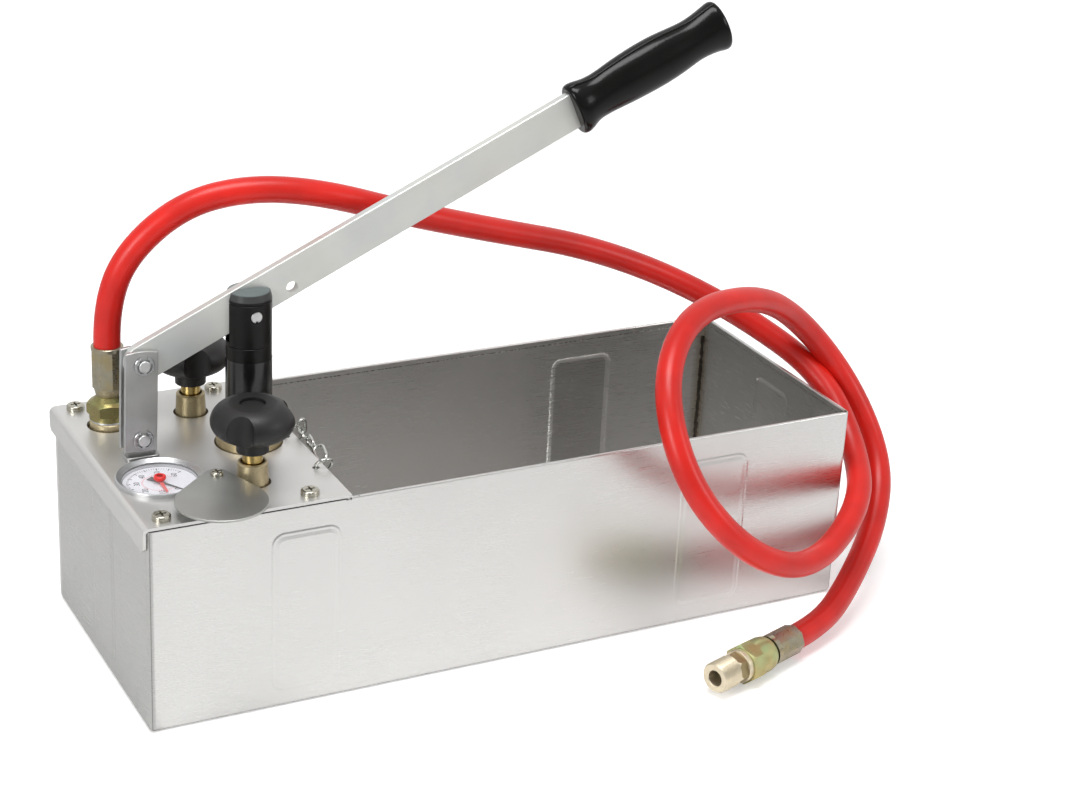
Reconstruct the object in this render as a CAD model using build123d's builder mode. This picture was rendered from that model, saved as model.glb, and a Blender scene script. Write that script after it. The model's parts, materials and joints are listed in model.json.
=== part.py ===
from build123d import *
import math
import os

os.makedirs("parts", exist_ok=True)

# Tank: origin at the centre of its underside, X along its length, Z up
TANK_LENGTH = 505.0
TANK_WIDTH = 195.0
TANK_HEIGHT = 140.0
TANK_LEFT = -TANK_LENGTH / 2
TANK_RIGHT = TANK_LENGTH / 2
SHEET = 1.5
TANK_CORNER = 4.0
TANK_FOOT_RADIUS = 4.0
HEM_DEPTH = 15.0
HEM_SHEET = 1.2
HEM_LINE_DROP = 4.3
HEM_LINE_HEIGHT = 0.5
HEM_LINE_DEPTH = 0.3
RIM_ROUND = 1.2
PAD_RISE = 0.8
PAD_SLOPE = 5.0
PAD_CORNER = 9.0
PAD_LOW = 12.0
PAD_HIGH_BELOW_RIM = 16.5
PAD_HIGH = TANK_HEIGHT - PAD_HIGH_BELOW_RIM
LEFT_PAD_LENGTH = 47.0
RIGHT_PAD_LENGTH = 52.0
LEFT_PAD_FROM_LEFT = 79.5
RIGHT_PAD_FROM_RIGHT = 80.5
LONG_PADS = [
    (TANK_LEFT + LEFT_PAD_FROM_LEFT, TANK_LEFT + LEFT_PAD_FROM_LEFT + LEFT_PAD_LENGTH),
    (TANK_RIGHT - RIGHT_PAD_FROM_RIGHT - RIGHT_PAD_LENGTH, TANK_RIGHT - RIGHT_PAD_FROM_RIGHT),
]
RIGHT_PAD = (-24.0, 22.0)
LEFT_PAD = (-30.0, 14.0)

# Cover plate
COVER_SHEET = 2.0
COVER_LEFT_PAST_LEFT = 2.5
COVER_LEFT = TANK_LEFT - COVER_LEFT_PAST_LEFT
COVER_LENGTH = 135.0
COVER_RIGHT = COVER_LEFT + COVER_LENGTH
COVER_OVERHANG = 0.4
COVER_HALF_WIDTH = TANK_WIDTH / 2 + COVER_OVERHANG
COVER_BEND = 4.0
COVER_FLANGE = 16.0
COVER_FLANGE_CHAMFER = 2.5
COVER_TOP = TANK_HEIGHT + COVER_SHEET
NOTCH_START_BEFORE_COVER_END = 3.6
NOTCH_START = COVER_RIGHT - NOTCH_START_BEFORE_COVER_END
NOTCH_END_PAST_COVER = 0.1
NOTCH_END = COVER_RIGHT + NOTCH_END_PAST_COVER
NOTCH_DEPTH = 1.8
NOTCH_TAIL_END_PAST_COVER = 5.5
NOTCH_TAIL_END = COVER_RIGHT + NOTCH_TAIL_END_PAST_COVER
NOTCH_TAIL_DEPTH = 0.6

# Axes of what stands on the cover
PISTON_FROM_LEFT = 101.2
OUTLET_FROM_LEFT = 25.6
OUTLET_FROM_WALL = 40.5
LINK_FROM_LEFT = 28.5
LUG_FOOT_WIDTH = 13.0
GAUGE_CASE_RADIUS = 25.0
GAUGE_WALL_GAP = 1.6
GAUGE_LUG_GAP = 0.9
BEZEL_OVERHANG = 2.9
BEZEL_RADIUS = GAUGE_CASE_RADIUS + BEZEL_OVERHANG
FLAP_BEZEL_GAP = 8.47
FLAP_REACH = BEZEL_RADIUS + FLAP_BEZEL_GAP
FLAP_BEARING = -34.7
FLAP_TO_VALVES = 22.8
VALVES_FROM_WALL = 39.5
SCREWS_FROM_LEFT = 12.5
SCREW_SPACING = 96.0
SCREWS_FROM_WALL = 9.5
PISTON_AT = (TANK_LEFT + PISTON_FROM_LEFT, 0.0)
OUTLET_AT = (TANK_LEFT + OUTLET_FROM_LEFT, TANK_WIDTH / 2 - OUTLET_FROM_WALL)
LINK_FOOT_AT = (TANK_LEFT + LINK_FROM_LEFT, 0.0)
GAUGE_AT = (
    TANK_LEFT + SHEET + HEM_SHEET + GAUGE_WALL_GAP + GAUGE_CASE_RADIUS,
    -LUG_FOOT_WIDTH / 2 - GAUGE_LUG_GAP - BEZEL_RADIUS,
)
FLAP_AT = (
    GAUGE_AT[0] + FLAP_REACH * math.cos(math.radians(FLAP_BEARING)),
    GAUGE_AT[1] + FLAP_REACH * math.sin(math.radians(FLAP_BEARING)),
)
FRONT_VALVE_AT = (FLAP_AT[0] + FLAP_TO_VALVES, VALVES_FROM_WALL - TANK_WIDTH / 2)
REAR_VALVE_AT = (FLAP_AT[0] + FLAP_TO_VALVES, TANK_WIDTH / 2 - VALVES_FROM_WALL)
SCREWS_AT = [
    (TANK_LEFT + SCREWS_FROM_LEFT + step * SCREW_SPACING, side * (TANK_WIDTH / 2 - SCREWS_FROM_WALL))
    for side in (-1, 1)
    for step in (0, 1)
]
COVER_GLAND_HOLE = 22.3
COVER_VALVE_HOLE = 11.6
COVER_OUTLET_HOLE = 14.3
COVER_GAUGE_GAP = 0.4
COVER_GAUGE_HOLE = GAUGE_CASE_RADIUS + COVER_GAUGE_GAP
COVER_SCREW_HOLE = 3.25
COVER_FLAP_HOLE = 2.55
COVER_CHAIN_HOLE = 2.4
LINK_SLOT_LENGTH = 18.5
LINK_SLOT_WIDTH = 7.0

# Cover screws and rails
SCREW_HEAD_RADIUS = 5.9
SCREW_HEAD_HEIGHT = 3.8
SCREW_HEAD_ROUND = 1.6
SCREW_SHANK_RADIUS = 3.0
SCREW_SHANK_LENGTH = 13.0
RECESS_LENGTH = 6.4
RECESS_WIDTH = 1.3
RECESS_DEPTH = 1.9
RAIL_SHEET = 2.0
RAIL_WIDTH = 15.0
RAIL_DROP = 14.0
RAIL_LEFT_FROM_LEFT = 6.5
RAIL_LEFT = TANK_LEFT + RAIL_LEFT_FROM_LEFT
RAIL_RIGHT_BEFORE_COVER_END = 7.0
RAIL_RIGHT = COVER_RIGHT - RAIL_RIGHT_BEFORE_COVER_END
RAIL_NUT_FLATS = 10.0
RAIL_NUT_HEIGHT = 4.0
THREAD_GAP = 0.05

# Pump block under the cover
BLOCK_TOP_BELOW_RIM = 4.0
BLOCK_TOP = TANK_HEIGHT - BLOCK_TOP_BELOW_RIM
BLOCK_HEIGHT = 32.0
BLOCK_BOTTOM = BLOCK_TOP - BLOCK_HEIGHT
BLOCK_BAR_WIDTH = 30.0
BLOCK_BAR_FROM_WALL = 31.5
BLOCK_BAR_HALF_LENGTH = TANK_WIDTH / 2 - BLOCK_BAR_FROM_WALL
BLOCK_HUB_RADIUS = 26.0
BLOCK_VALVE_BOSS = 14.0
BLOCK_OUTLET_BOSS = 16.0
BLOCK_ARM_WIDTH = 18.0
BLOCK_ARM_TOP_BELOW_RIM = 18.0
BLOCK_ARM_TOP = TANK_HEIGHT - BLOCK_ARM_TOP_BELOW_RIM
BLOCK_GAUGE_BOSS = 11.0
BLOCK_GAUGE_BOSS_TOP_BELOW_RIM = 18.5
BLOCK_GAUGE_BOSS_TOP = TANK_HEIGHT - BLOCK_GAUGE_BOSS_TOP_BELOW_RIM
BLOCK_FOOT_BOSS_LENGTH = 34.0
BLOCK_FOOT_BOSS_WIDTH = 18.0
PORT_RADIUS = 3.0
PORT_ABOVE_BLOCK_BOTTOM = 6.0
PORT_LEVEL = BLOCK_BOTTOM + PORT_ABOVE_BLOCK_BOTTOM

# Cylinder, packing, gland
PISTON_RADIUS = 15.0
PISTON_BOTTOM_BELOW_RIM = 40.0
PISTON_BOTTOM = TANK_HEIGHT - PISTON_BOTTOM_BELOW_RIM
RUNNING_GAP = 0.05
CYLINDER_RADIUS = 20.0
CYLINDER_BOTTOM = 50.0
CYLINDER_TOP_BELOW_RIM = 20.0
CYLINDER_TOP = TANK_HEIGHT - CYLINDER_TOP_BELOW_RIM
CYLINDER_FLOOR = 6.0
CYLINDER_PORT = 4.0
SEAL_HEIGHT = 8.0
SEAL_TOP = CYLINDER_TOP + SEAL_HEIGHT
GLAND_RADIUS = 21.3
GLAND_TOP_ABOVE_COVER = 5.5
GLAND_TOP = COVER_TOP + GLAND_TOP_ABOVE_COVER
GLAND_SLOT_WIDTH = 9.0
GLAND_SLOT_TURN = 70.0
GLAND_SLOT_DEPTH = 4.0
GLAND_GAP = 0.4
GLAND_EDGE = 0.6

# Foot valve and strainer
SUCTION_LOW = 30.0
SUCTION_SPIGOT_LOW = 22.0
SUCTION_SPIGOT_RADIUS = 15.8
SUCTION_CHAMBER = 9.0
SUCTION_SEAT_Z = 34.0
SUCTION_SEAT_RADIUS = 5.0
SUCTION_BALL_RADIUS = 6.35
BALL_REST_GAP = 0.15
STRAINER_RADIUS = 17.2
STRAINER_WALL = 1.2
STRAINER_BOTTOM = 6.0
STRAINER_SLOT_WIDTH = 3.0
STRAINER_SLOT_LOW = 9.5
STRAINER_SLOT_HIGH = 20.0
STRAINER_SLOTS = 12
DISCHARGE_BORE = 6.0
DISCHARGE_SEAT_ABOVE_PORT = 3.5
DISCHARGE_SEAT_Z = PORT_LEVEL + DISCHARGE_SEAT_ABOVE_PORT
DISCHARGE_SEAT_RADIUS = 3.5
DISCHARGE_BALL_RADIUS = 4.76

# Crosshead on the piston
PIVOT_ABOVE_COVER = 91.0
PIVOT_Z = COVER_TOP + PIVOT_ABOVE_COVER
CROSSHEAD_RADIUS = 14.75
CROSSHEAD_LOW_BELOW_PIVOT = 31.0
CROSSHEAD_LOW = PIVOT_Z - CROSSHEAD_LOW_BELOW_PIVOT
CROSSHEAD_BAND_LOW_ABOVE_PIVOT = 9.7
CROSSHEAD_BAND_LOW = PIVOT_Z + CROSSHEAD_BAND_LOW_ABOVE_PIVOT
CROSSHEAD_BAND_HIGH_ABOVE_PIVOT = 14.0
CROSSHEAD_BAND_HIGH = PIVOT_Z + CROSSHEAD_BAND_HIGH_ABOVE_PIVOT
CROSSHEAD_BAND_RADIUS = 13.5
CROSSHEAD_TOP_ABOVE_PIVOT = 16.6
CROSSHEAD_TOP = PIVOT_Z + CROSSHEAD_TOP_ABOVE_PIVOT
CROSSHEAD_SLOT_FLOOR_BELOW_PIVOT = 19.0
CROSSHEAD_SLOT_FLOOR = PIVOT_Z - CROSSHEAD_SLOT_FLOOR_BELOW_PIVOT
CROSSHEAD_SLOT_WIDTH = 6.6
CROSSHEAD_GROOVE_BELOW_PIVOT = 21.4
CROSSHEAD_GROOVE_Z = PIVOT_Z - CROSSHEAD_GROOVE_BELOW_PIVOT
CROSSHEAD_UPPER_GROOVE_ABOVE_PIVOT = 7.6
CROSSHEAD_UPPER_GROOVE_Z = PIVOT_Z + CROSSHEAD_UPPER_GROOVE_ABOVE_PIVOT
CROSSHEAD_GROOVE = 0.4
PISTON_SPIGOT_RADIUS = 9.0
PISTON_SPIGOT_TOP_BELOW_PIVOT = 25.0
PISTON_SPIGOT_TOP = PIVOT_Z - PISTON_SPIGOT_TOP_BELOW_PIVOT

# Lever and its pivot
LEVER_ANGLE = 24.8
LEVER_HEIGHT = 25.0
LEVER_THICKNESS = 6.0
LEVER_CENTRE_ABOVE_PIVOT = 6.5
LEVER_LEFT = -86.4
LEVER_RIGHT = 344.0
LEVER_EDGE = 0.5
PIVOT_PIN_RADIUS = 3.75
PIVOT_PIN_HALF = 14.6
PIVOT_PIN_DOME = 0.6
PIVOT_NOTCH = 1.6
SPARE_HOLE_ALONG = 31.0
SPARE_HOLE_RADIUS = 4.0
LINK_ALONG = -75.6

# Link
LINK_PIN_RADIUS = 4.0
LINK_PIN_HALF = 9.0
LINK_PIN_DOME = 1.0
LINK_LOWER_ABOVE_COVER = 15.0
LINK_LOWER_Z = COVER_TOP + LINK_LOWER_ABOVE_COVER
LINK_HOLE_IN_LEVER = 6.2
LINK_PLATE_INSIDE = 3.3
LINK_PLATE_SHEET = 3.0
LINK_PLATE_WIDTH = 21.2
LINK_PLATE_OFFSET = -1.5
LINK_PLATE_LOW_BELOW_LOWER_PIN = 8.2
LINK_PLATE_HIGH_ABOVE_UPPER_PIN = 9.9
LINK_PLATE_ARCH = 1.2
LINK_PLATE_EDGE = 0.4
RING_RADIUS = 6.6
RING_INSIDE = 5.0
RING_TONGUES = (150.0, 270.0, 30.0)
RING_TONGUE_WIDTH = 2.4
RING_OPENING = 4.4
RING_THICKNESS = 1.2
RING_EDGE = 0.4
LUG_FOOT_LENGTH = 22.0
LUG_FOOT_HEIGHT = 3.5
LUG_FOOT_CORNER = 3.0
LUG_RADIUS = 9.0
LUG_LOW_BELOW_RIM = 22.0
LUG_LOW = TANK_HEIGHT - LUG_LOW_BELOW_RIM
LUG_STEM_LENGTH = 18.0

# Hand grip: distance along the lever, top and bottom from its centreline, half width
GRIP_SECTIONS = [
    (251.6, 15.4, -16.6, 11.4),
    (253.4, 17.3, -18.7, 13.2),
    (257.6, 17.3, -18.6, 13.4),
    (264.0, 15.9, -16.0, 12.2),
    (271.5, 15.2, -15.1, 11.6),
    (286.5, 16.3, -16.0, 12.4),
    (303.5, 17.4, -17.0, 13.2),
    (321.5, 17.2, -17.3, 13.2),
    (337.5, 15.6, -16.2, 12.4),
    (347.5, 15.0, -15.2, 12.0),
    (356.0, 15.7, -15.6, 12.4),
    (364.0, 17.0, -17.2, 13.2),
    (369.0, 17.4, -18.2, 13.5),
    (371.2, 15.8, -16.6, 12.2),
]
GRIP_GAP = 0.1

# Valves
VALVE_BODY_RADIUS = 9.5
VALVE_BODY_FOOT_RADIUS = 10.2
VALVE_BODY_LOW_BELOW_RIM = 22.0
VALVE_BODY_LOW = TANK_HEIGHT - VALVE_BODY_LOW_BELOW_RIM
VALVE_BODY_TOP_ABOVE_COVER = 14.3
VALVE_BODY_TOP = COVER_TOP + VALVE_BODY_TOP_ABOVE_COVER
VALVE_BODY_EDGE = 0.8
VALVE_MOUTH_RADIUS = 7.6
VALVE_MOUTH_DEPTH = 5.0
VALVE_SEAT_RADIUS = 2.5
SPINDLE_RADIUS = 6.5
SPINDLE_TIP_LIFT = 3.5
SPINDLE_TIP = VALVE_BODY_LOW + SPINDLE_TIP_LIFT
SPINDLE_CONE_HEIGHT = 4.5
SPINDLE_CONE_TOP = SPINDLE_TIP + SPINDLE_CONE_HEIGHT
SPINDLE_TIP_RADIUS = 2.0
SPINDLE_ABOVE_BODY = 7.3
SPINDLE_TOP = VALVE_BODY_TOP + SPINDLE_ABOVE_BODY
SPIGOT_RADIUS = 4.0
SPIGOT_LENGTH = 20.0
SPIGOT_TOP = SPINDLE_TOP + SPIGOT_LENGTH
KNOB_HUB_RADIUS = 10.2
KNOB_HUB_HEIGHT = 6.0
KNOB_HUB_TOP = SPINDLE_TOP + KNOB_HUB_HEIGHT
KNOB_OUTLINE = [
    (11.4, 7.2),
    (19.2, 10.2),
    (24.6, 14.4),
    (26.4, 19.4),
    (25.0, 25.2),
    (20.8, 29.8),
    (14.8, 32.0),
]
KNOB_PROFILE = [(radius, SPINDLE_TOP + rise) for radius, rise in KNOB_OUTLINE]
KNOB_RECESS_RADIUS = 8.2
KNOB_RECESS_DEPTH = 3.0
KNOB_SCALLOP_RADIUS = 10.2
KNOB_SCALLOP_AT = 29.6
FRONT_SCALLOPS = [232.0, 352.0, 112.0]
REAR_SCALLOPS = [262.0, 22.0, 142.0]
CAP_RADIUS = 8.0
CAP_HEIGHT = 1.4
CAP_ROUND = 0.6

# Gauge
GAUGE_SEAT_GAP = 0.1
GAUGE_CASE_LOW = BLOCK_GAUGE_BOSS_TOP + GAUGE_SEAT_GAP
GAUGE_CASE_WALL = 1.6
GAUGE_CASE_TOP_BELOW_COVER = 0.2
GAUGE_CASE_TOP = COVER_TOP - GAUGE_CASE_TOP_BELOW_COVER
GAUGE_LEDGE = 1.5
GAUGE_STEM_RADIUS = 6.0
GAUGE_STEM_ABOVE_PORT = 1.0
GAUGE_STEM_LOW = PORT_LEVEL + GAUGE_STEM_ABOVE_PORT
GAUGE_SOCKET_RADIUS = 6.6
GAUGE_SOCKET_HEIGHT = 8.4
GAUGE_SOCKET_TOP = GAUGE_CASE_LOW + GAUGE_SOCKET_HEIGHT
BEZEL_LOW = COVER_TOP
BEZEL_HEIGHT = 3.0
BEZEL_TOP = BEZEL_LOW + BEZEL_HEIGHT
BEZEL_WALL_HEIGHT = 2.3
BEZEL_WALL_TOP = BEZEL_LOW + BEZEL_WALL_HEIGHT
BEZEL_CROWN_INSET = 1.0
BEZEL_CROWN_RADIUS = BEZEL_RADIUS - BEZEL_CROWN_INSET
BEZEL_CORNER_SHARE = 0.3
BEZEL_LIP_INSET = 4.0
BEZEL_LIP_RADIUS = BEZEL_RADIUS - BEZEL_LIP_INSET
BEZEL_LIP_HEIGHT = 1.1
BEZEL_LIP_TOP = BEZEL_LOW + BEZEL_LIP_HEIGHT
BEZEL_SEAT_HEIGHT = 0.65
BEZEL_SEAT_TOP = BEZEL_LOW + BEZEL_SEAT_HEIGHT
BEZEL_SEAT = GAUGE_CASE_RADIUS + RUNNING_GAP
DIAL_GAP = 0.2
DIAL_RADIUS = GAUGE_CASE_RADIUS - GAUGE_CASE_WALL - DIAL_GAP
DIAL_DROP = 2.4
DIAL_LOW = GAUGE_CASE_TOP - DIAL_DROP
LEDGE_GAP = 0.1
DIAL_THICKNESS = 0.6
DIAL_HOLE = 1.6
LENS_LIFT = 0.1
LENS_LOW = GAUGE_CASE_TOP + LENS_LIFT
LENS_THICKNESS = 0.7
LENS_GAP = 0.2
LENS_RADIUS = GAUGE_CASE_RADIUS - LENS_GAP
LENS_HOLE = 1.56
NEEDLE_HUB_RADIUS = 2.4
NEEDLE_LIFT = 1.1
NEEDLE_HUB_LOW = DIAL_LOW + NEEDLE_LIFT
NEEDLE_BLADE_HEIGHT = 0.4
NEEDLE_HUB_HEIGHT = 0.6
NEEDLE_HUB_TOP = NEEDLE_HUB_LOW + NEEDLE_HUB_HEIGHT
NEEDLE_SHARE = 0.8
NEEDLE_LENGTH = DIAL_RADIUS * NEEDLE_SHARE
NEEDLE_TAIL = 8.5
NEEDLE_TAIL_HALF = 2.6
NEEDLE_ROOT_HALF = 1.0
NEEDLE_TIP_HALF = 0.25
NEEDLE_SPINDLE_RADIUS = 1.2
NEEDLE_SPINDLE_LIFT = 2.0
NEEDLE_SPINDLE_LOW = GAUGE_SOCKET_TOP + NEEDLE_SPINDLE_LIFT
NEEDLE_ANGLE = -57.0
MARKER_LIFT = 0.2
MARKER_ARM_LOW = NEEDLE_HUB_TOP + MARKER_LIFT
MARKER_ARM_HEIGHT = 0.4
MARKER_SHARE = 0.72
MARKER_LENGTH = DIAL_RADIUS * MARKER_SHARE
MARKER_ROOT_HALF = 1.3
MARKER_TIP_HALF = 0.7
MARKER_SHAFT_RADIUS = 1.5
MARKER_KNOB_GAP = 0.2
MARKER_KNOB_LOW = LENS_LOW + LENS_THICKNESS + MARKER_KNOB_GAP
MARKER_KNOB_HEIGHT = 2.3
MARKER_KNOB_TOP = MARKER_KNOB_LOW + MARKER_KNOB_HEIGHT
MARKER_KNOB_RADIUS = 3.8
MARKER_KNOB_EDGE = 0.5
MARKER_KNOB_HOLLOW = 2.2
MARKER_KNOB_HOLLOW_DEPTH = 0.6
MARKER_ANGLE = -92.6

# Gauge flap
FLAP_LIFT = 3.2
FLAP_LOW = MARKER_KNOB_TOP + FLAP_LIFT
FLAP_SHEET = 1.5
FLAP_ANGLE = 255.0
FLAP_OVERHANG = 0.9
FLAP_DISC_RADIUS = BEZEL_RADIUS + FLAP_OVERHANG
FLAP_ROOT_RADIUS = 8.5
FLAP_HOLE = 2.55
FLAP_EDGE = 0.4
FLAP_FACE_GAP = 0.1
FLAP_SPACER_RADIUS = 4.6
FLAP_SHANK_RADIUS = 2.5
FLAP_SCREW_HEAD_RADIUS = 4.0
FLAP_SCREW_HEAD_HEIGHT = 2.2
FLAP_SCREW_ROUND = 1.2
FLAP_SCREW_LOW_BELOW_RIM = 6.0
FLAP_SCREW_LOW = TANK_HEIGHT - FLAP_SCREW_LOW_BELOW_RIM
FLAP_NUT_FLATS = 8.0
FLAP_NUT_HEIGHT = 4.0

# Outlet and fixed end of the hose
ADAPTER_LOW_BELOW_RIM = 18.0
ADAPTER_LOW = TANK_HEIGHT - ADAPTER_LOW_BELOW_RIM
ADAPTER_STUB_RADIUS = 10.0
ADAPTER_COLLAR_RADIUS = 12.5
ADAPTER_COLLAR_LOW_BELOW_RIM = 2.0
ADAPTER_COLLAR_LOW = TANK_HEIGHT - ADAPTER_COLLAR_LOW_BELOW_RIM
ADAPTER_COLLAR_TOP_ABOVE_COVER = 4.1
ADAPTER_COLLAR_TOP = COVER_TOP + ADAPTER_COLLAR_TOP_ABOVE_COVER
ADAPTER_BORE = 4.0
ADAPTER_EDGE = 0.7
WASHER_RADIUS = 11.8
WASHER_THICKNESS = 1.6
WASHER_TOP = ADAPTER_COLLAR_TOP + WASHER_THICKNESS
HOSE_NUT_FLATS = 24.75
HOSE_NUT_HEIGHT = 12.8
HOSE_NUT_TOP = WASHER_TOP + HOSE_NUT_HEIGHT
HOSE_NUT_BASE_RADIUS = 12.6
HOSE_NUT_BASE_HEIGHT = 3.3
HOSE_NUT_HEX_LOW = WASHER_TOP + HOSE_NUT_BASE_HEIGHT
HOSE_NUT_TURN = 49.3
HOSE_NUT_CROWN_RADIUS = 9.9
HOSE_NUT_CROWN_SLOPE = 30.0
SHOULDER_HEIGHT = 3.1
SHOULDER_TOP = HOSE_NUT_TOP + SHOULDER_HEIGHT
SHOULDER_RADIUS = 7.6
FERRULE_RADIUS = 10.5
FERRULE_LOW = SHOULDER_TOP
FERRULE_LENGTH = 34.4
FERRULE_TOP = FERRULE_LOW + FERRULE_LENGTH
FERRULE_LIP = 2.6
FERRULE_CRIMPS = 8
FERRULE_CRIMP_FLATS = 19.4
FERRULE_EDGE = 0.5
FERRULE_SKIRT_LENGTH = 6.1
FERRULE_SKIRT_LOW_RADIUS = 8.0
FERRULE_SKIRT_HIGH_RADIUS = 9.6
FERRULE_SKIRT_TOP = FERRULE_LOW + FERRULE_SKIRT_LENGTH

# Hose: points of its route, straight runs joined by arcs
HOSE_RADIUS = 8.75
HOSE_BORE = 5.0
BEND_SHARE = 0.45
HOSE_REACH = TANK_RIGHT - OUTLET_AT[0]
HOSE_SWING = OUTLET_AT[1] + TANK_WIDTH / 2
END_HEIGHT = 13.6
END_LEVEL = END_HEIGHT / TANK_HEIGHT
# Shares: along the tank from the outlet to its right end, from the outlet to the front wall, and
# of the height (1 is the rim, 2 the top of the ferrule)
HOSE_SHARES = [
    (0.0000, 0.0000, 2.0000),
    (0.0000, 0.0000, 2.4397),
    (0.0259, 0.0227, 3.0603),
    (0.0987, 0.0583, 3.5914),
    (0.1854, 0.1036, 3.7586),
    (0.2835, 0.1553, 3.6724),
    (0.4107, 0.1618, 3.3103),
    (0.5672, 0.0841, 2.8793),
    (0.7174, 0.0259, 2.5000),
    (0.8559, 0.0634, 2.0207),
    (0.9677, 0.2350, 1.5052),
    (1.0492, 0.5314, 0.9864),
    (1.0549, 0.8291, 0.7150),
    (1.0033, 1.1534, 0.5693),
    (0.8684, 1.4097, 0.4271),
    (0.7424, 1.4887, 0.6214),
    (0.6569, 1.3722, 0.9786),
    (0.6569, 1.1133, 1.8966),
    (0.7445, 0.8479, 2.4138),
    (0.8992, 0.6498, 2.2707),
    (1.0169, 0.4867, 1.6345),
    (1.0995, 0.5657, 0.8993),
    (1.1158, 0.7968, 0.5643),
    (1.0615, 1.0233, 0.3550),
    (0.9771, 1.2233, 0.1800),
    (0.9009, 1.3780, END_LEVEL),
    (0.8373, 1.4447, END_LEVEL),
]
HOSE_ROUTE = [
    (
        OUTLET_AT[0] + along * HOSE_REACH,
        OUTLET_AT[1] - across * HOSE_SWING,
        min(level, 1) * TANK_HEIGHT + max(level - 1, 0) * (FERRULE_TOP - TANK_HEIGHT),
    )
    for along, across, level in HOSE_SHARES
]

# Free end of the hose: distances from the end of the hose along its axis
END_FERRULE_LENGTH = 26.2
END_NECK_RADIUS = 7.0
END_NUT_START = 27.5
END_NUT_END = 54.0
END_NUT_FLATS = 24.7
END_NUT_HEX_START = 43.7
END_NUT_BEVEL = 2.2
END_NUT_BACK_RADIUS = 10.2
END_NUT_ROUND_RADIUS = 12.2
END_NUT_ROUND_START = 33.0
END_NUT_SHOULDER_SHARE = 0.35
END_FERRULE_COLLAR = 4.0
END_COLLAR_END = 58.0
END_COLLAR_RADIUS = 11.2
END_HEX_CORNER_RADIUS = 10.9
END_HEX_TURN = 20.0
END_NUT_TURN = 12.0
END_HEX_END = 65.3
END_HEX_FLATS = 19.6
END_THREAD_END = 81.0
END_THREAD_RADIUS = 10.48
END_BORE = 5.4
END_THREAD_EDGE = 1.0

# Lock chain along the right edge of the cover
CHAIN_WIRE = 0.9
CHAIN_LINK_INSIDE = 11.0
CHAIN_LINK_HALF_WIDTH = 3.4
CHAIN_SLACK = 0.3
CHAIN_LINKS = 5
CHAIN_RING_RADIUS = 5.5
CHAIN_RING_X_BEFORE_COVER_END = 1.0
CHAIN_RING_X = COVER_RIGHT - CHAIN_RING_X_BEFORE_COVER_END
CHAIN_LEVEL_ABOVE_COVER = 1.1
CHAIN_LEVEL = COVER_TOP + CHAIN_LEVEL_ABOVE_COVER
CHAIN_FIRST_Y = -2.0
CHAIN_ROLL = 90.0

PIVOT_AT = (PISTON_AT[0], 0.0, PIVOT_Z)
LEVER_PLANE = Plane(
    origin=PIVOT_AT,
    x_dir=(math.cos(math.radians(LEVER_ANGLE)), 0.0, math.sin(math.radians(LEVER_ANGLE))),
    z_dir=(0.0, -1.0, 0.0),
)
SIDE_PLANE = Plane(origin=(0.0, 0.0, 0.0), x_dir=(1.0, 0.0, 0.0), z_dir=(0.0, -1.0, 0.0))
LINK_UPPER_AT = LEVER_PLANE.from_local_coords((LINK_ALONG, LEVER_CENTRE_ABOVE_PIVOT, 0.0))
LINK_UPPER_X = LINK_UPPER_AT.X
LINK_UPPER_Z = LINK_UPPER_AT.Z
LINK_LEAN = math.atan2(LINK_UPPER_X - LINK_FOOT_AT[0], LINK_UPPER_Z - LINK_LOWER_Z)
LINK_PIN_DISTANCE = math.hypot(LINK_UPPER_X - LINK_FOOT_AT[0], LINK_UPPER_Z - LINK_LOWER_Z)
END_POINT = HOSE_ROUTE[-1]
END_AXIS = tuple((Vector(*END_POINT) - Vector(*HOSE_ROUTE[-2])).normalized())
CHAIN_PITCH = CHAIN_LINK_INSIDE - CHAIN_SLACK
CHAIN_RING_LINK_STEP = CHAIN_LINK_INSIDE / 2 - CHAIN_WIRE - CHAIN_SLACK
CHAIN_LAST_Y = CHAIN_FIRST_Y - 2 * CHAIN_RING_LINK_STEP - (CHAIN_LINKS - 1) * CHAIN_PITCH
CHAIN_HOLE_X = CHAIN_RING_X - math.sqrt(CHAIN_RING_RADIUS ** 2 - (CHAIN_LEVEL - TANK_HEIGHT - COVER_SHEET / 2) ** 2)


def post(centre, radius, low, high, mode=Mode.ADD):
    with BuildSketch(Plane.XY.offset(low)) as shape:
        with Locations(centre):
            Circle(radius)
    return extrude(shape.sketch, amount=high - low, mode=mode)


def slab(left, right, front, rear, low, high, mode=Mode.ADD):
    with BuildSketch(Plane.XY.offset(low)) as shape:
        with Locations(((left + right) / 2, (front + rear) / 2)):
            Rectangle(right - left, rear - front)
    return extrude(shape.sketch, amount=high - low, mode=mode)


def hexagon(centre, flats, low, high, turn=0.0, mode=Mode.ADD):
    with BuildSketch(Plane.XY.offset(low)) as shape:
        with Locations(centre):
            RegularPolygon(flats / 2, 6, major_radius=False, rotation=turn)
    return extrude(shape.sketch, amount=high - low, mode=mode)


def turned(centre, outline, mode=Mode.ADD):
    place = Plane(origin=(centre[0], centre[1], 0.0), x_dir=(1.0, 0.0, 0.0), z_dir=(0.0, -1.0, 0.0))
    with BuildSketch(place) as shape:
        with BuildLine():
            Polyline(*outline, close=True)
        make_face()
    return revolve(shape.sketch, axis=Axis((centre[0], centre[1], 0.0), (0.0, 0.0, 1.0)), mode=mode)


def end_plane(distance):
    origin = [END_POINT[i] + END_AXIS[i] * distance for i in range(3)]
    return Plane(origin=origin, x_dir=(0.0, 0.0, 1.0), z_dir=END_AXIS)


def end_post(radius, start, stop, mode=Mode.ADD):
    with BuildSketch(end_plane(start)) as shape:
        Circle(radius)
    return extrude(shape.sketch, amount=stop - start, mode=mode)


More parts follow.
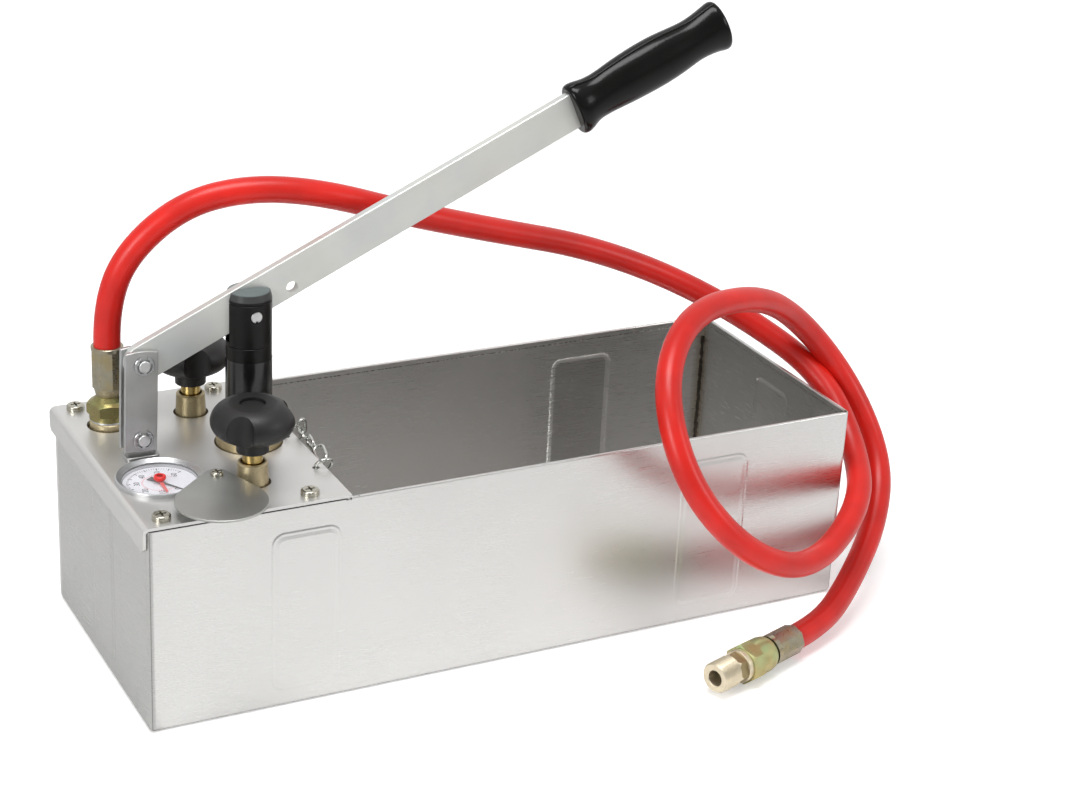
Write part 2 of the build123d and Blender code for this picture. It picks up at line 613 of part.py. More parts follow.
def end_hexagon(flats, turn, start, stop):
    with BuildSketch(end_plane(start)) as shape:
        RegularPolygon(flats / 2, 6, major_radius=False, rotation=turn)
    return extrude(shape.sketch, amount=stop - start)


def end_turned(outline, mode=Mode.ADD):
    place = Plane(origin=END_POINT, x_dir=(0.0, 0.0, 1.0), z_dir=(-END_AXIS[1], END_AXIS[0], 0.0))
    with BuildSketch(place) as shape:
        with BuildLine():
            Polyline(*outline, close=True)
        make_face()
    return revolve(shape.sketch, axis=Axis(END_POINT, END_AXIS), mode=mode)


def wall_pad(plane, first, last, rise, mode):
    low = PAD_LOW
    high = PAD_HIGH
    middle = ((first + last) / 2, (low + high) / 2)
    width = last - first
    with BuildSketch(plane) as outer:
        with Locations(middle):
            RectangleRounded(width, high - low, PAD_CORNER)
    with BuildSketch(plane.offset(rise)) as inner:
        with Locations(middle):
            RectangleRounded(width - 2 * PAD_SLOPE, high - low - 2 * PAD_SLOPE, PAD_CORNER - PAD_SLOPE)
    loft([outer.sketch.face(), inner.sketch.face()], mode=mode)


def wall_pads(inset, mode):
    front = Plane(origin=(0.0, -TANK_WIDTH / 2 + inset, 0.0), x_dir=(1.0, 0.0, 0.0), z_dir=(0.0, -1.0, 0.0))
    rear = Plane(origin=(0.0, TANK_WIDTH / 2 - inset, 0.0), x_dir=(-1.0, 0.0, 0.0), z_dir=(0.0, 1.0, 0.0))
    right = Plane(origin=(TANK_LENGTH / 2 - inset, 0.0, 0.0), x_dir=(0.0, 1.0, 0.0), z_dir=(1.0, 0.0, 0.0))
    left = Plane(origin=(-TANK_LENGTH / 2 + inset, 0.0, 0.0), x_dir=(0.0, -1.0, 0.0), z_dir=(-1.0, 0.0, 0.0))
    for first, last in LONG_PADS:
        wall_pad(front, first, last, PAD_RISE, mode)
        wall_pad(rear, -last, -first, PAD_RISE, mode)
    wall_pad(right, RIGHT_PAD[0], RIGHT_PAD[1], PAD_RISE, mode)
    wall_pad(left, -LEFT_PAD[1], -LEFT_PAD[0], PAD_RISE, mode)


# Space inside the tank
with BuildPart() as tank_space:
    with BuildSketch(Plane.XY.offset(SHEET)):
        RectangleRounded(TANK_LENGTH - 2 * SHEET, TANK_WIDTH - 2 * SHEET, TANK_CORNER - SHEET)
    extrude(amount=TANK_HEIGHT - HEM_DEPTH - SHEET)
    fillet(tank_space.edges().group_by(Axis.Z)[0], TANK_FOOT_RADIUS - SHEET)
    hem_inset = SHEET + HEM_SHEET
    with BuildSketch(Plane.XY.offset(TANK_HEIGHT - HEM_DEPTH)):
        RectangleRounded(TANK_LENGTH - 2 * hem_inset, TANK_WIDTH - 2 * hem_inset, TANK_CORNER - SHEET)
    extrude(amount=HEM_DEPTH)
    line_inset = hem_inset - HEM_LINE_DEPTH
    with BuildSketch(Plane.XY.offset(TANK_HEIGHT - HEM_LINE_DROP - HEM_LINE_HEIGHT)):
        RectangleRounded(TANK_LENGTH - 2 * line_inset, TANK_WIDTH - 2 * line_inset, TANK_CORNER - SHEET)
    extrude(amount=HEM_LINE_HEIGHT)
    wall_pads(SHEET, Mode.ADD)

with BuildPart() as tank_shell:
    with BuildSketch():
        RectangleRounded(TANK_LENGTH, TANK_WIDTH, TANK_CORNER)
    extrude(amount=TANK_HEIGHT)
    fillet(tank_shell.edges().group_by(Axis.Z)[0], TANK_FOOT_RADIUS)
    wall_pads(0.0, Mode.ADD)
    add(tank_space.part, mode=Mode.SUBTRACT)
    fillet(tank_shell.edges().group_by(Axis.Z)[-1], RIM_ROUND)
    slab(NOTCH_START, NOTCH_END, -TANK_WIDTH, -TANK_WIDTH / 4,
         TANK_HEIGHT - NOTCH_DEPTH, TANK_HEIGHT + SHEET, Mode.SUBTRACT)
    slab(NOTCH_END, NOTCH_TAIL_END, -TANK_WIDTH, -TANK_WIDTH / 4,
         TANK_HEIGHT - NOTCH_TAIL_DEPTH, TANK_HEIGHT + SHEET, Mode.SUBTRACT)
tank_shell.part.label = "tank_shell"
export_step(tank_shell.part, "parts/tank_shell.step")

with BuildPart() as cover_plate:
    with BuildSketch(SIDE_PLANE):
        with BuildLine():
            Polyline(
                (COVER_LEFT, COVER_TOP - COVER_FLANGE),
                (COVER_LEFT, COVER_TOP),
                (COVER_RIGHT, COVER_TOP),
                (COVER_RIGHT, TANK_HEIGHT),
                (COVER_LEFT + COVER_SHEET, TANK_HEIGHT),
                (COVER_LEFT + COVER_SHEET, COVER_TOP - COVER_FLANGE),
                close=True,
            )
        make_face()
    extrude(amount=COVER_HALF_WIDTH, both=True)
    outer_bend = cover_plate.edges().filter_by(Axis.Y).sort_by_distance((COVER_LEFT, 0.0, COVER_TOP))[0]
    fillet(outer_bend, COVER_BEND)
    inner_corner = (COVER_LEFT + COVER_SHEET, 0.0, TANK_HEIGHT)
    inner_bend = cover_plate.edges().filter_by(Axis.Y).sort_by_distance(inner_corner)[0]
    fillet(inner_bend, COVER_BEND - COVER_SHEET)
    flange_corners = cover_plate.edges().filter_by(Axis.X).group_by(Axis.Z)[0]
    chamfer(flange_corners, COVER_FLANGE_CHAMFER)
    for centre, radius in [
        (PISTON_AT, COVER_GLAND_HOLE),
        (FRONT_VALVE_AT, COVER_VALVE_HOLE),
        (REAR_VALVE_AT, COVER_VALVE_HOLE),
        (OUTLET_AT, COVER_OUTLET_HOLE),
        (GAUGE_AT, COVER_GAUGE_HOLE),
        (FLAP_AT, COVER_FLAP_HOLE),
        ((CHAIN_HOLE_X, CHAIN_FIRST_Y), COVER_CHAIN_HOLE),
        ((CHAIN_HOLE_X, CHAIN_LAST_Y), COVER_CHAIN_HOLE),
    ]:
        post(centre, radius, TANK_HEIGHT - COVER_SHEET, COVER_TOP + COVER_SHEET, Mode.SUBTRACT)
    for centre in SCREWS_AT:
        post(centre, COVER_SCREW_HOLE, TANK_HEIGHT - COVER_SHEET, COVER_TOP + COVER_SHEET, Mode.SUBTRACT)
    slab(LINK_FOOT_AT[0] - LINK_SLOT_LENGTH / 2, LINK_FOOT_AT[0] + LINK_SLOT_LENGTH / 2,
         -LINK_SLOT_WIDTH / 2, LINK_SLOT_WIDTH / 2,
         TANK_HEIGHT - COVER_SHEET, COVER_TOP + COVER_SHEET, Mode.SUBTRACT)
cover_plate.part.label = "cover_plate"
export_step(cover_plate.part, "parts/cover_plate.step")

with BuildPart() as pan_screw:
    post((0.0, 0.0), SCREW_HEAD_RADIUS, 0.0, SCREW_HEAD_HEIGHT)
    fillet(pan_screw.edges().group_by(Axis.Z)[-1], SCREW_HEAD_ROUND)
    post((0.0, 0.0), SCREW_SHANK_RADIUS, -SCREW_SHANK_LENGTH, 0.0)
    for length, width in [(RECESS_LENGTH, RECESS_WIDTH), (RECESS_WIDTH, RECESS_LENGTH)]:
        slab(-length / 2, length / 2, -width / 2, width / 2,
             SCREW_HEAD_HEIGHT - RECESS_DEPTH, SCREW_HEAD_HEIGHT, Mode.SUBTRACT)

with BuildPart() as cover_screws:
    with Locations(*[(x, y, COVER_TOP) for x, y in SCREWS_AT]):
        add(pan_screw.part)
cover_screws.part.label = "cover_screws"
export_step(cover_screws.part, "parts/cover_screws.step")

with BuildPart() as cover_rails:
    rail_face = TANK_WIDTH / 2 - SHEET - HEM_SHEET
    for side in (-1, 1):
        outer = side * rail_face
        inner = side * (rail_face - RAIL_WIDTH)
        stem = side * (rail_face - RAIL_SHEET)
        slab(RAIL_LEFT, RAIL_RIGHT, min(inner, outer), max(inner, outer), TANK_HEIGHT - RAIL_SHEET, TANK_HEIGHT)
        slab(RAIL_LEFT, RAIL_RIGHT, min(stem, outer), max(stem, outer), TANK_HEIGHT - RAIL_DROP, TANK_HEIGHT)
    for centre in SCREWS_AT:
        hexagon(centre, RAIL_NUT_FLATS, TANK_HEIGHT - RAIL_SHEET - RAIL_NUT_HEIGHT, TANK_HEIGHT - RAIL_SHEET)
    for centre in SCREWS_AT:
        post(centre, SCREW_SHANK_RADIUS + THREAD_GAP, TANK_HEIGHT - RAIL_DROP, TANK_HEIGHT, Mode.SUBTRACT)
cover_rails.part.label = "cover_rails"
export_step(cover_rails.part, "parts/cover_rails.step")

with BuildPart() as pump_block:
    valve_x = FRONT_VALVE_AT[0]
    slab(valve_x - BLOCK_BAR_WIDTH / 2, valve_x + BLOCK_BAR_WIDTH / 2,
         -BLOCK_BAR_HALF_LENGTH, BLOCK_BAR_HALF_LENGTH, BLOCK_BOTTOM, BLOCK_ARM_TOP)
    slab(OUTLET_AT[0], valve_x, OUTLET_AT[1] - BLOCK_ARM_WIDTH / 2, OUTLET_AT[1] + BLOCK_ARM_WIDTH / 2,
         BLOCK_BOTTOM, BLOCK_ARM_TOP)
    slab(GAUGE_AT[0], valve_x, GAUGE_AT[1] - BLOCK_ARM_WIDTH / 2, GAUGE_AT[1] + BLOCK_ARM_WIDTH / 2,
         BLOCK_BOTTOM, BLOCK_ARM_TOP - BLOCK_ARM_WIDTH / 4)
    slab(LINK_FOOT_AT[0], valve_x, -BLOCK_ARM_WIDTH / 2, BLOCK_ARM_WIDTH / 2, BLOCK_BOTTOM, BLOCK_TOP)
    post(PISTON_AT, BLOCK_HUB_RADIUS, BLOCK_BOTTOM, BLOCK_TOP)
    post(FRONT_VALVE_AT, BLOCK_VALVE_BOSS, BLOCK_BOTTOM, TANK_HEIGHT - COVER_SHEET)
    post(REAR_VALVE_AT, BLOCK_VALVE_BOSS, BLOCK_BOTTOM, TANK_HEIGHT - COVER_SHEET)
    post(OUTLET_AT, BLOCK_OUTLET_BOSS, BLOCK_BOTTOM, TANK_HEIGHT - COVER_SHEET)
    post(GAUGE_AT, BLOCK_GAUGE_BOSS, BLOCK_BOTTOM, BLOCK_GAUGE_BOSS_TOP)
    slab(LINK_FOOT_AT[0] - BLOCK_FOOT_BOSS_LENGTH / 2, LINK_FOOT_AT[0] + BLOCK_FOOT_BOSS_LENGTH / 2,
         -BLOCK_FOOT_BOSS_WIDTH / 2, BLOCK_FOOT_BOSS_WIDTH / 2, BLOCK_BOTTOM, TANK_HEIGHT)
    post(PISTON_AT, CYLINDER_RADIUS + THREAD_GAP, BLOCK_BOTTOM, SEAL_TOP, Mode.SUBTRACT)
    post(PISTON_AT, GLAND_RADIUS + THREAD_GAP, SEAL_TOP, BLOCK_TOP, Mode.SUBTRACT)
    for centre in (FRONT_VALVE_AT, REAR_VALVE_AT):
        post(centre, VALVE_BODY_FOOT_RADIUS + THREAD_GAP, VALVE_BODY_LOW, TANK_HEIGHT, Mode.SUBTRACT)
        post(centre, VALVE_SEAT_RADIUS, PORT_LEVEL, VALVE_BODY_LOW, Mode.SUBTRACT)
    post(OUTLET_AT, ADAPTER_STUB_RADIUS + THREAD_GAP, ADAPTER_LOW, TANK_HEIGHT, Mode.SUBTRACT)
    post(OUTLET_AT, DISCHARGE_BORE, DISCHARGE_SEAT_Z, ADAPTER_LOW, Mode.SUBTRACT)
    post(OUTLET_AT, DISCHARGE_SEAT_RADIUS, PORT_LEVEL, DISCHARGE_SEAT_Z, Mode.SUBTRACT)
    post(GAUGE_AT, GAUGE_STEM_RADIUS + THREAD_GAP, GAUGE_STEM_LOW, BLOCK_GAUGE_BOSS_TOP, Mode.SUBTRACT)
    slab(LINK_FOOT_AT[0] - LUG_STEM_LENGTH / 2 - THREAD_GAP, LINK_FOOT_AT[0] + LUG_STEM_LENGTH / 2 + THREAD_GAP,
         -LEVER_THICKNESS / 2 - THREAD_GAP, LEVER_THICKNESS / 2 + THREAD_GAP, LUG_LOW, TANK_HEIGHT, Mode.SUBTRACT)
    with BuildSketch(Plane.XZ.offset(-REAR_VALVE_AT[1])):
        with Locations((valve_x, PORT_LEVEL)):
            Circle(PORT_RADIUS)
    extrude(amount=REAR_VALVE_AT[1] - FRONT_VALVE_AT[1], mode=Mode.SUBTRACT)
    for side_port in (OUTLET_AT, GAUGE_AT):
        with BuildSketch(Plane.YZ.offset(side_port[0])):
            with Locations((side_port[1], PORT_LEVEL)):
                Circle(PORT_RADIUS)
        extrude(amount=valve_x - side_port[0], mode=Mode.SUBTRACT)
pump_block.part.label = "pump_block"
export_step(pump_block.part, "parts/pump_block.step")

with BuildPart() as pump_cylinder:
    post(PISTON_AT, CYLINDER_RADIUS, CYLINDER_BOTTOM, CYLINDER_TOP)
    post(PISTON_AT, PISTON_RADIUS + RUNNING_GAP, CYLINDER_BOTTOM + CYLINDER_FLOOR, CYLINDER_TOP, Mode.SUBTRACT)
    post(PISTON_AT, CYLINDER_PORT, CYLINDER_BOTTOM, CYLINDER_BOTTOM + CYLINDER_FLOOR, Mode.SUBTRACT)
    with BuildSketch(Plane.YZ.offset(PISTON_AT[0] - CYLINDER_RADIUS)):
        with Locations((0.0, PORT_LEVEL)):
            Circle(PORT_RADIUS)
    extrude(amount=CYLINDER_RADIUS, mode=Mode.SUBTRACT)
pump_cylinder.part.label = "pump_cylinder"
export_step(pump_cylinder.part, "parts/pump_cylinder.step")

with BuildPart() as piston_seal:
    post(PISTON_AT, CYLINDER_RADIUS, CYLINDER_TOP, SEAL_TOP)
    post(PISTON_AT, PISTON_RADIUS + RUNNING_GAP, CYLINDER_TOP, SEAL_TOP, Mode.SUBTRACT)
piston_seal.part.label = "piston_seal"
export_step(piston_seal.part, "parts/piston_seal.step")

with BuildPart() as gland_nut:
    post(PISTON_AT, GLAND_RADIUS, SEAL_TOP, GLAND_TOP)
    chamfer(gland_nut.edges().group_by(Axis.Z)[-1], GLAND_EDGE)
    post(PISTON_AT, PISTON_RADIUS + GLAND_GAP, SEAL_TOP, GLAND_TOP, Mode.SUBTRACT)
    with BuildSketch(Plane.XY.offset(GLAND_TOP - GLAND_SLOT_DEPTH)):
        with Locations(PISTON_AT):
            Rectangle(3 * GLAND_RADIUS, GLAND_SLOT_WIDTH, rotation=GLAND_SLOT_TURN)
    extrude(amount=GLAND_SLOT_DEPTH, mode=Mode.SUBTRACT)
gland_nut.part.label = "gland_nut"
export_step(gland_nut.part, "parts/gland_nut.step")

with BuildPart() as suction_body:
    post(PISTON_AT, CYLINDER_RADIUS, SUCTION_LOW, CYLINDER_BOTTOM)
    post(PISTON_AT, SUCTION_SPIGOT_RADIUS, SUCTION_SPIGOT_LOW, SUCTION_LOW)
    post(PISTON_AT, SUCTION_CHAMBER, SUCTION_SEAT_Z, CYLINDER_BOTTOM, Mode.SUBTRACT)
    post(PISTON_AT, SUCTION_SEAT_RADIUS, SUCTION_SPIGOT_LOW, SUCTION_SEAT_Z, Mode.SUBTRACT)
suction_body.part.label = "suction_body"
export_step(suction_body.part, "parts/suction_body.step")

with BuildPart() as suction_ball:
    suction_rise = math.sqrt(SUCTION_BALL_RADIUS ** 2 - SUCTION_SEAT_RADIUS ** 2) + BALL_REST_GAP
    with Locations((PISTON_AT[0], PISTON_AT[1], SUCTION_SEAT_Z + suction_rise)):
        Sphere(SUCTION_BALL_RADIUS)
suction_ball.part.label = "suction_ball"
export_step(suction_ball.part, "parts/suction_ball.step")

with BuildPart() as suction_strainer:
    post(PISTON_AT, STRAINER_RADIUS, STRAINER_BOTTOM, SUCTION_LOW)
    post(PISTON_AT, STRAINER_RADIUS - STRAINER_WALL, STRAINER_BOTTOM + STRAINER_WALL, SUCTION_LOW, Mode.SUBTRACT)
    for step in range(STRAINER_SLOTS // 2):
        with BuildSketch(Plane.XY.offset(STRAINER_SLOT_LOW)):
            with Locations(PISTON_AT):
                Rectangle(3 * STRAINER_RADIUS, STRAINER_SLOT_WIDTH, rotation=step * 360.0 / STRAINER_SLOTS)
        extrude(amount=STRAINER_SLOT_HIGH - STRAINER_SLOT_LOW, mode=Mode.SUBTRACT)
suction_strainer.part.label = "suction_strainer"
export_step(suction_strainer.part, "parts/suction_strainer.step")

with BuildPart() as discharge_ball:
    discharge_rise = math.sqrt(DISCHARGE_BALL_RADIUS ** 2 - DISCHARGE_SEAT_RADIUS ** 2) + BALL_REST_GAP
    with Locations((OUTLET_AT[0], OUTLET_AT[1], DISCHARGE_SEAT_Z + discharge_rise)):
        Sphere(DISCHARGE_BALL_RADIUS)
discharge_ball.part.label = "discharge_ball"
export_step(discharge_ball.part, "parts/discharge_ball.step")

with BuildPart() as piston:
    post(PISTON_AT, PISTON_RADIUS, PISTON_BOTTOM, CROSSHEAD_LOW)
    chamfer(piston.edges().group_by(Axis.Z)[0], GLAND_EDGE)
    post(PISTON_AT, PISTON_SPIGOT_RADIUS, CROSSHEAD_LOW, PISTON_SPIGOT_TOP)
piston.part.label = "piston"
export_step(piston.part, "parts/piston.step")

with BuildPart() as crosshead:
    groove_inner = CROSSHEAD_RADIUS - CROSSHEAD_GROOVE
    turned(PISTON_AT, [
        (0.0, CROSSHEAD_LOW),
        (CROSSHEAD_RADIUS, CROSSHEAD_LOW),
        (CROSSHEAD_RADIUS, CROSSHEAD_GROOVE_Z - CROSSHEAD_GROOVE),
        (groove_inner, CROSSHEAD_GROOVE_Z),
        (CROSSHEAD_RADIUS, CROSSHEAD_GROOVE_Z + CROSSHEAD_GROOVE),
        (CROSSHEAD_RADIUS, CROSSHEAD_UPPER_GROOVE_Z - CROSSHEAD_GROOVE),
        (groove_inner, CROSSHEAD_UPPER_GROOVE_Z),
        (CROSSHEAD_RADIUS, CROSSHEAD_UPPER_GROOVE_Z + CROSSHEAD_GROOVE),
        (CROSSHEAD_RADIUS, CROSSHEAD_BAND_LOW),
        (CROSSHEAD_BAND_RADIUS, CROSSHEAD_BAND_HIGH),
        (CROSSHEAD_BAND_RADIUS * 0.85, CROSSHEAD_BAND_HIGH + (CROSSHEAD_TOP - CROSSHEAD_BAND_HIGH) * 0.4),
        (CROSSHEAD_BAND_RADIUS * 0.6, CROSSHEAD_BAND_HIGH + (CROSSHEAD_TOP - CROSSHEAD_BAND_HIGH) * 0.75),
        (0.0, CROSSHEAD_TOP),
    ])
    post(PISTON_AT, PISTON_SPIGOT_RADIUS + THREAD_GAP, CROSSHEAD_LOW, PISTON_SPIGOT_TOP, Mode.SUBTRACT)
    slab(PISTON_AT[0] - 2 * CROSSHEAD_RADIUS, PISTON_AT[0] + 2 * CROSSHEAD_RADIUS,
         -CROSSHEAD_SLOT_WIDTH / 2, CROSSHEAD_SLOT_WIDTH / 2,
         CROSSHEAD_SLOT_FLOOR, CROSSHEAD_TOP + SHEET, Mode.SUBTRACT)
    with BuildSketch(SIDE_PLANE):
        with Locations((PIVOT_AT[0], PIVOT_AT[2])):
            Circle(PIVOT_PIN_RADIUS + THREAD_GAP)
    extrude(amount=CROSSHEAD_RADIUS, both=True, mode=Mode.SUBTRACT)
crosshead.part.label = "crosshead"
export_step(crosshead.part, "parts/crosshead.step")

with BuildPart() as crosshead_pin:
    with BuildSketch(SIDE_PLANE):
        with Locations((PIVOT_AT[0], PIVOT_AT[2])):
            Circle(PIVOT_PIN_RADIUS)
    extrude(amount=PIVOT_PIN_HALF, both=True)
    fillet(crosshead_pin.edges().filter_by(GeomType.CIRCLE), PIVOT_PIN_DOME)
    slab(PIVOT_AT[0] - PIVOT_NOTCH / 2, PIVOT_AT[0] + PIVOT_NOTCH / 2,
         -PIVOT_PIN_HALF - PIVOT_NOTCH, -PIVOT_PIN_HALF + PIVOT_NOTCH,
         PIVOT_Z - 2 * PIVOT_PIN_RADIUS, PIVOT_Z - PIVOT_PIN_RADIUS + PIVOT_NOTCH, Mode.SUBTRACT)
crosshead_pin.part.label = "crosshead_pin"
export_step(crosshead_pin.part, "parts/crosshead_pin.step")

with BuildPart() as lever_bar:
    bar_middle = (LEVER_LEFT + LEVER_RIGHT) / 2
    with BuildSketch(LEVER_PLANE):
        with Locations((bar_middle, LEVER_CENTRE_ABOVE_PIVOT)):
            SlotOverall(LEVER_RIGHT - LEVER_LEFT, LEVER_HEIGHT)
        with Locations(((LEVER_RIGHT + bar_middle) / 2, LEVER_CENTRE_ABOVE_PIVOT)):
            Rectangle(LEVER_RIGHT - bar_middle, LEVER_HEIGHT)
    extrude(amount=LEVER_THICKNESS / 2, both=True)
    chamfer(lever_bar.faces().filter_by(Axis.Y).edges(), LEVER_EDGE)
    with BuildSketch(LEVER_PLANE):
        Circle(PIVOT_PIN_RADIUS + RUNNING_GAP)
        with Locations((LINK_ALONG, LEVER_CENTRE_ABOVE_PIVOT)):
            Circle(LINK_HOLE_IN_LEVER)
        with Locations((SPARE_HOLE_ALONG, 0.0)):
            Circle(SPARE_HOLE_RADIUS)
    extrude(amount=LEVER_THICKNESS, both=True, mode=Mode.SUBTRACT)
lever_bar.part.label = "lever_bar"
export_step(lever_bar.part, "parts/lever_bar.step")

with BuildPart() as lever_grip:
    for along, top, bottom, half_width in GRIP_SECTIONS:
        middle_height = LEVER_CENTRE_ABOVE_PIVOT + (top + bottom) / 2
        spot = LEVER_PLANE.from_local_coords((along, middle_height, 0.0))
        with BuildSketch(Plane(origin=spot, x_dir=(0.0, 1.0, 0.0), z_dir=LEVER_PLANE.x_dir)):
            Ellipse(half_width, (top - bottom) / 2)
    loft()
    with BuildSketch(LEVER_PLANE):
        with Locations((LEVER_RIGHT + GRIP_GAP - LEVER_HEIGHT * 3, LEVER_CENTRE_ABOVE_PIVOT)):
            Rectangle(LEVER_HEIGHT * 6, LEVER_HEIGHT + 2 * GRIP_GAP)
    extrude(amount=LEVER_THICKNESS / 2 + GRIP_GAP, both=True, mode=Mode.SUBTRACT)
lever_grip.part.label = "lever_grip"
export_step(lever_grip.part, "parts/lever_grip.step")


def link_plate(side):
    near = side * LINK_PLATE_INSIDE
    far = side * (LINK_PLATE_INSIDE + LINK_PLATE_SHEET)
    plane = Plane(origin=(LINK_FOOT_AT[0], max(near, far), LINK_LOWER_Z),
                  x_dir=(math.cos(LINK_LEAN), 0.0, -math.sin(LINK_LEAN)), z_dir=(0.0, -1.0, 0.0))
    left = LINK_PLATE_OFFSET - LINK_PLATE_WIDTH / 2
    right = LINK_PLATE_OFFSET + LINK_PLATE_WIDTH / 2
    low = -LINK_PLATE_LOW_BELOW_LOWER_PIN
    crown = LINK_PIN_DISTANCE + LINK_PLATE_HIGH_ABOVE_UPPER_PIN
    high = crown - LINK_PLATE_ARCH
    with BuildPart() as plate:
        with BuildSketch(plane):
            with BuildLine():
                Polyline((left, high), (left, low), (right, low), (right, high))
                ThreePointArc((left, high), (LINK_PLATE_OFFSET, crown), (right, high))
            make_face()
        extrude(amount=LINK_PLATE_SHEET)
        chamfer(plate.faces().filter_by(Axis.Y).edges(), LINK_PLATE_EDGE)
        with BuildSketch(plane):
            with Locations((0.0, 0.0), (0.0, LINK_PIN_DISTANCE)):
                Circle(LINK_PIN_RADIUS + THREAD_GAP)
        extrude(amount=LINK_PLATE_SHEET, mode=Mode.SUBTRACT)
    return plate.part


link_plate_front = link_plate(-1)
link_plate_front.label = "link_plate_front"
export_step(link_plate_front, "parts/link_plate_front.step")

link_plate_rear = link_plate(1)
link_plate_rear.label = "link_plate_rear"
export_step(link_plate_rear, "parts/link_plate_rear.step")


def link_pin(x, z):
    with BuildPart() as pin:
        with BuildSketch(SIDE_PLANE):
            with Locations((x, z)):
                Circle(LINK_PIN_RADIUS)
        extrude(amount=LINK_PIN_HALF, both=True)
        fillet(pin.edges().filter_by(GeomType.CIRCLE), LINK_PIN_DOME)
    return pin.part


link_lower_pin = link_pin(LINK_FOOT_AT[0], LINK_LOWER_Z)
link_lower_pin.label = "link_lower_pin"
export_step(link_lower_pin, "parts/link_lower_pin.step")

link_upper_pin = link_pin(LINK_UPPER_X, LINK_UPPER_Z)
link_upper_pin.label = "link_upper_pin"
export_step(link_upper_pin, "parts/link_upper_pin.step")

with BuildPart() as retaining_rings:
    ring_face = LINK_PLATE_INSIDE + LINK_PLATE_SHEET
    for x, z in ((LINK_FOOT_AT[0], LINK_LOWER_Z), (LINK_UPPER_X, LINK_UPPER_Z)):
        for side in (-1, 1):
            start = ring_face if side > 0 else -ring_face - RING_THICKNESS
            with BuildSketch(Plane(origin=(0.0, start + RING_THICKNESS, 0.0), x_dir=(1.0, 0.0, 0.0),
                                   z_dir=(0.0, -1.0, 0.0))):
                with Locations((x, z)):
                    Circle(RING_RADIUS)
                    Circle(RING_INSIDE, mode=Mode.SUBTRACT)
                for tongue in RING_TONGUES:
                    reach = (RING_INSIDE + RING_RADIUS) / 2 - THREAD_GAP
                    turn = math.radians(tongue)
                    with Locations((x + reach / 2 * math.cos(turn), z + reach / 2 * math.sin(turn))):
                        Rectangle(reach, RING_TONGUE_WIDTH, rotation=tongue)
                with Locations((x, z)):
                    Circle(LINK_PIN_RADIUS + THREAD_GAP, mode=Mode.SUBTRACT)
                with Locations((x, z + RING_RADIUS)):
                    Rectangle(RING_OPENING, RING_RADIUS, mode=Mode.SUBTRACT)
            extrude(amount=RING_THICKNESS)
    ring_rims = [e for e in retaining_rings.edges().filter_by(GeomType.CIRCLE)
                 if e.radius > (RING_INSIDE + RING_RADIUS) / 2 and abs(abs(e.center().Y) - ring_face) > RING_EDGE]
    chamfer(ring_rims, RING_EDGE)
retaining_rings.part.label = "retaining_rings"
export_step(retaining_rings.part, "parts/retaining_rings.step")

with BuildPart() as link_lug:
    with BuildSketch(Plane.XY.offset(COVER_TOP)):
        with Locations(LINK_FOOT_AT):
            RectangleRounded(LUG_FOOT_LENGTH, LUG_FOOT_WIDTH, LUG_FOOT_CORNER)
    extrude(amount=LUG_FOOT_HEIGHT)
    chamfer(link_lug.edges().group_by(Axis.Z)[-1], LINK_PLATE_EDGE)
    slab(LINK_FOOT_AT[0] - LUG_STEM_LENGTH / 2, LINK_FOOT_AT[0] + LUG_STEM_LENGTH / 2,
         -LEVER_THICKNESS / 2, LEVER_THICKNESS / 2, LUG_LOW, COVER_TOP + LUG_FOOT_HEIGHT / 2)
    with BuildSketch(SIDE_PLANE):
        with Locations((LINK_FOOT_AT[0], LINK_LOWER_Z)):
            Circle(LUG_RADIUS)
        with Locations((LINK_FOOT_AT[0], (LINK_LOWER_Z + COVER_TOP) / 2)):
            Rectangle(2 * LUG_RADIUS, LINK_LOWER_Z - COVER_TOP)
    extrude(amount=LEVER_THICKNESS / 2, both=True)
    with BuildSketch(SIDE_PLANE):
        with Locations((LINK_FOOT_AT[0], LINK_LOWER_Z)):
            Circle(LINK_PIN_RADIUS + RUNNING_GAP)
    extrude(amount=LEVER_THICKNESS, both=True, mode=Mode.SUBTRACT)
link_lug.part.label = "link_lug"
export_step(link_lug.part, "parts/link_lug.step")


def valve_body(centre):
    with BuildPart() as body:
        turned(centre, [
            (0.0, VALVE_BODY_LOW),
            (VALVE_BODY_FOOT_RADIUS, VALVE_BODY_LOW),
            (VALVE_BODY_FOOT_RADIUS, TANK_HEIGHT),
            (VALVE_BODY_RADIUS, VALVE_BODY_TOP - VALVE_BODY_EDGE),
            (VALVE_BODY_RADIUS - VALVE_BODY_EDGE, VALVE_BODY_TOP),
            (VALVE_MOUTH_RADIUS, VALVE_BODY_TOP),
            (VALVE_MOUTH_RADIUS, VALVE_BODY_TOP - VALVE_MOUTH_DEPTH),
            (SPINDLE_RADIUS + RUNNING_GAP, VALVE_BODY_TOP - VALVE_MOUTH_DEPTH),
            (SPINDLE_RADIUS + RUNNING_GAP, SPINDLE_TIP - VALVE_BODY_EDGE),
            (VALVE_SEAT_RADIUS, SPINDLE_TIP - 2 * VALVE_BODY_EDGE),
            (VALVE_SEAT_RADIUS, VALVE_BODY_LOW + VALVE_BODY_EDGE),
            (0.0, VALVE_BODY_LOW + VALVE_BODY_EDGE),
        ])
        post(centre, VALVE_SEAT_RADIUS, VALVE_BODY_LOW, SPINDLE_TIP, Mode.SUBTRACT)
    return body.part


def valve_spindle(centre):
    with BuildPart() as spindle:
        turned(centre, [
            (0.0, SPINDLE_TIP),
            (SPINDLE_TIP_RADIUS, SPINDLE_TIP),
            (SPINDLE_RADIUS, SPINDLE_CONE_TOP),
            (SPINDLE_RADIUS, SPINDLE_TOP),
            (SPIGOT_RADIUS, SPINDLE_TOP),
            (SPIGOT_RADIUS, SPIGOT_TOP),
            (0.0, SPIGOT_TOP),
        ])
    return spindle.part


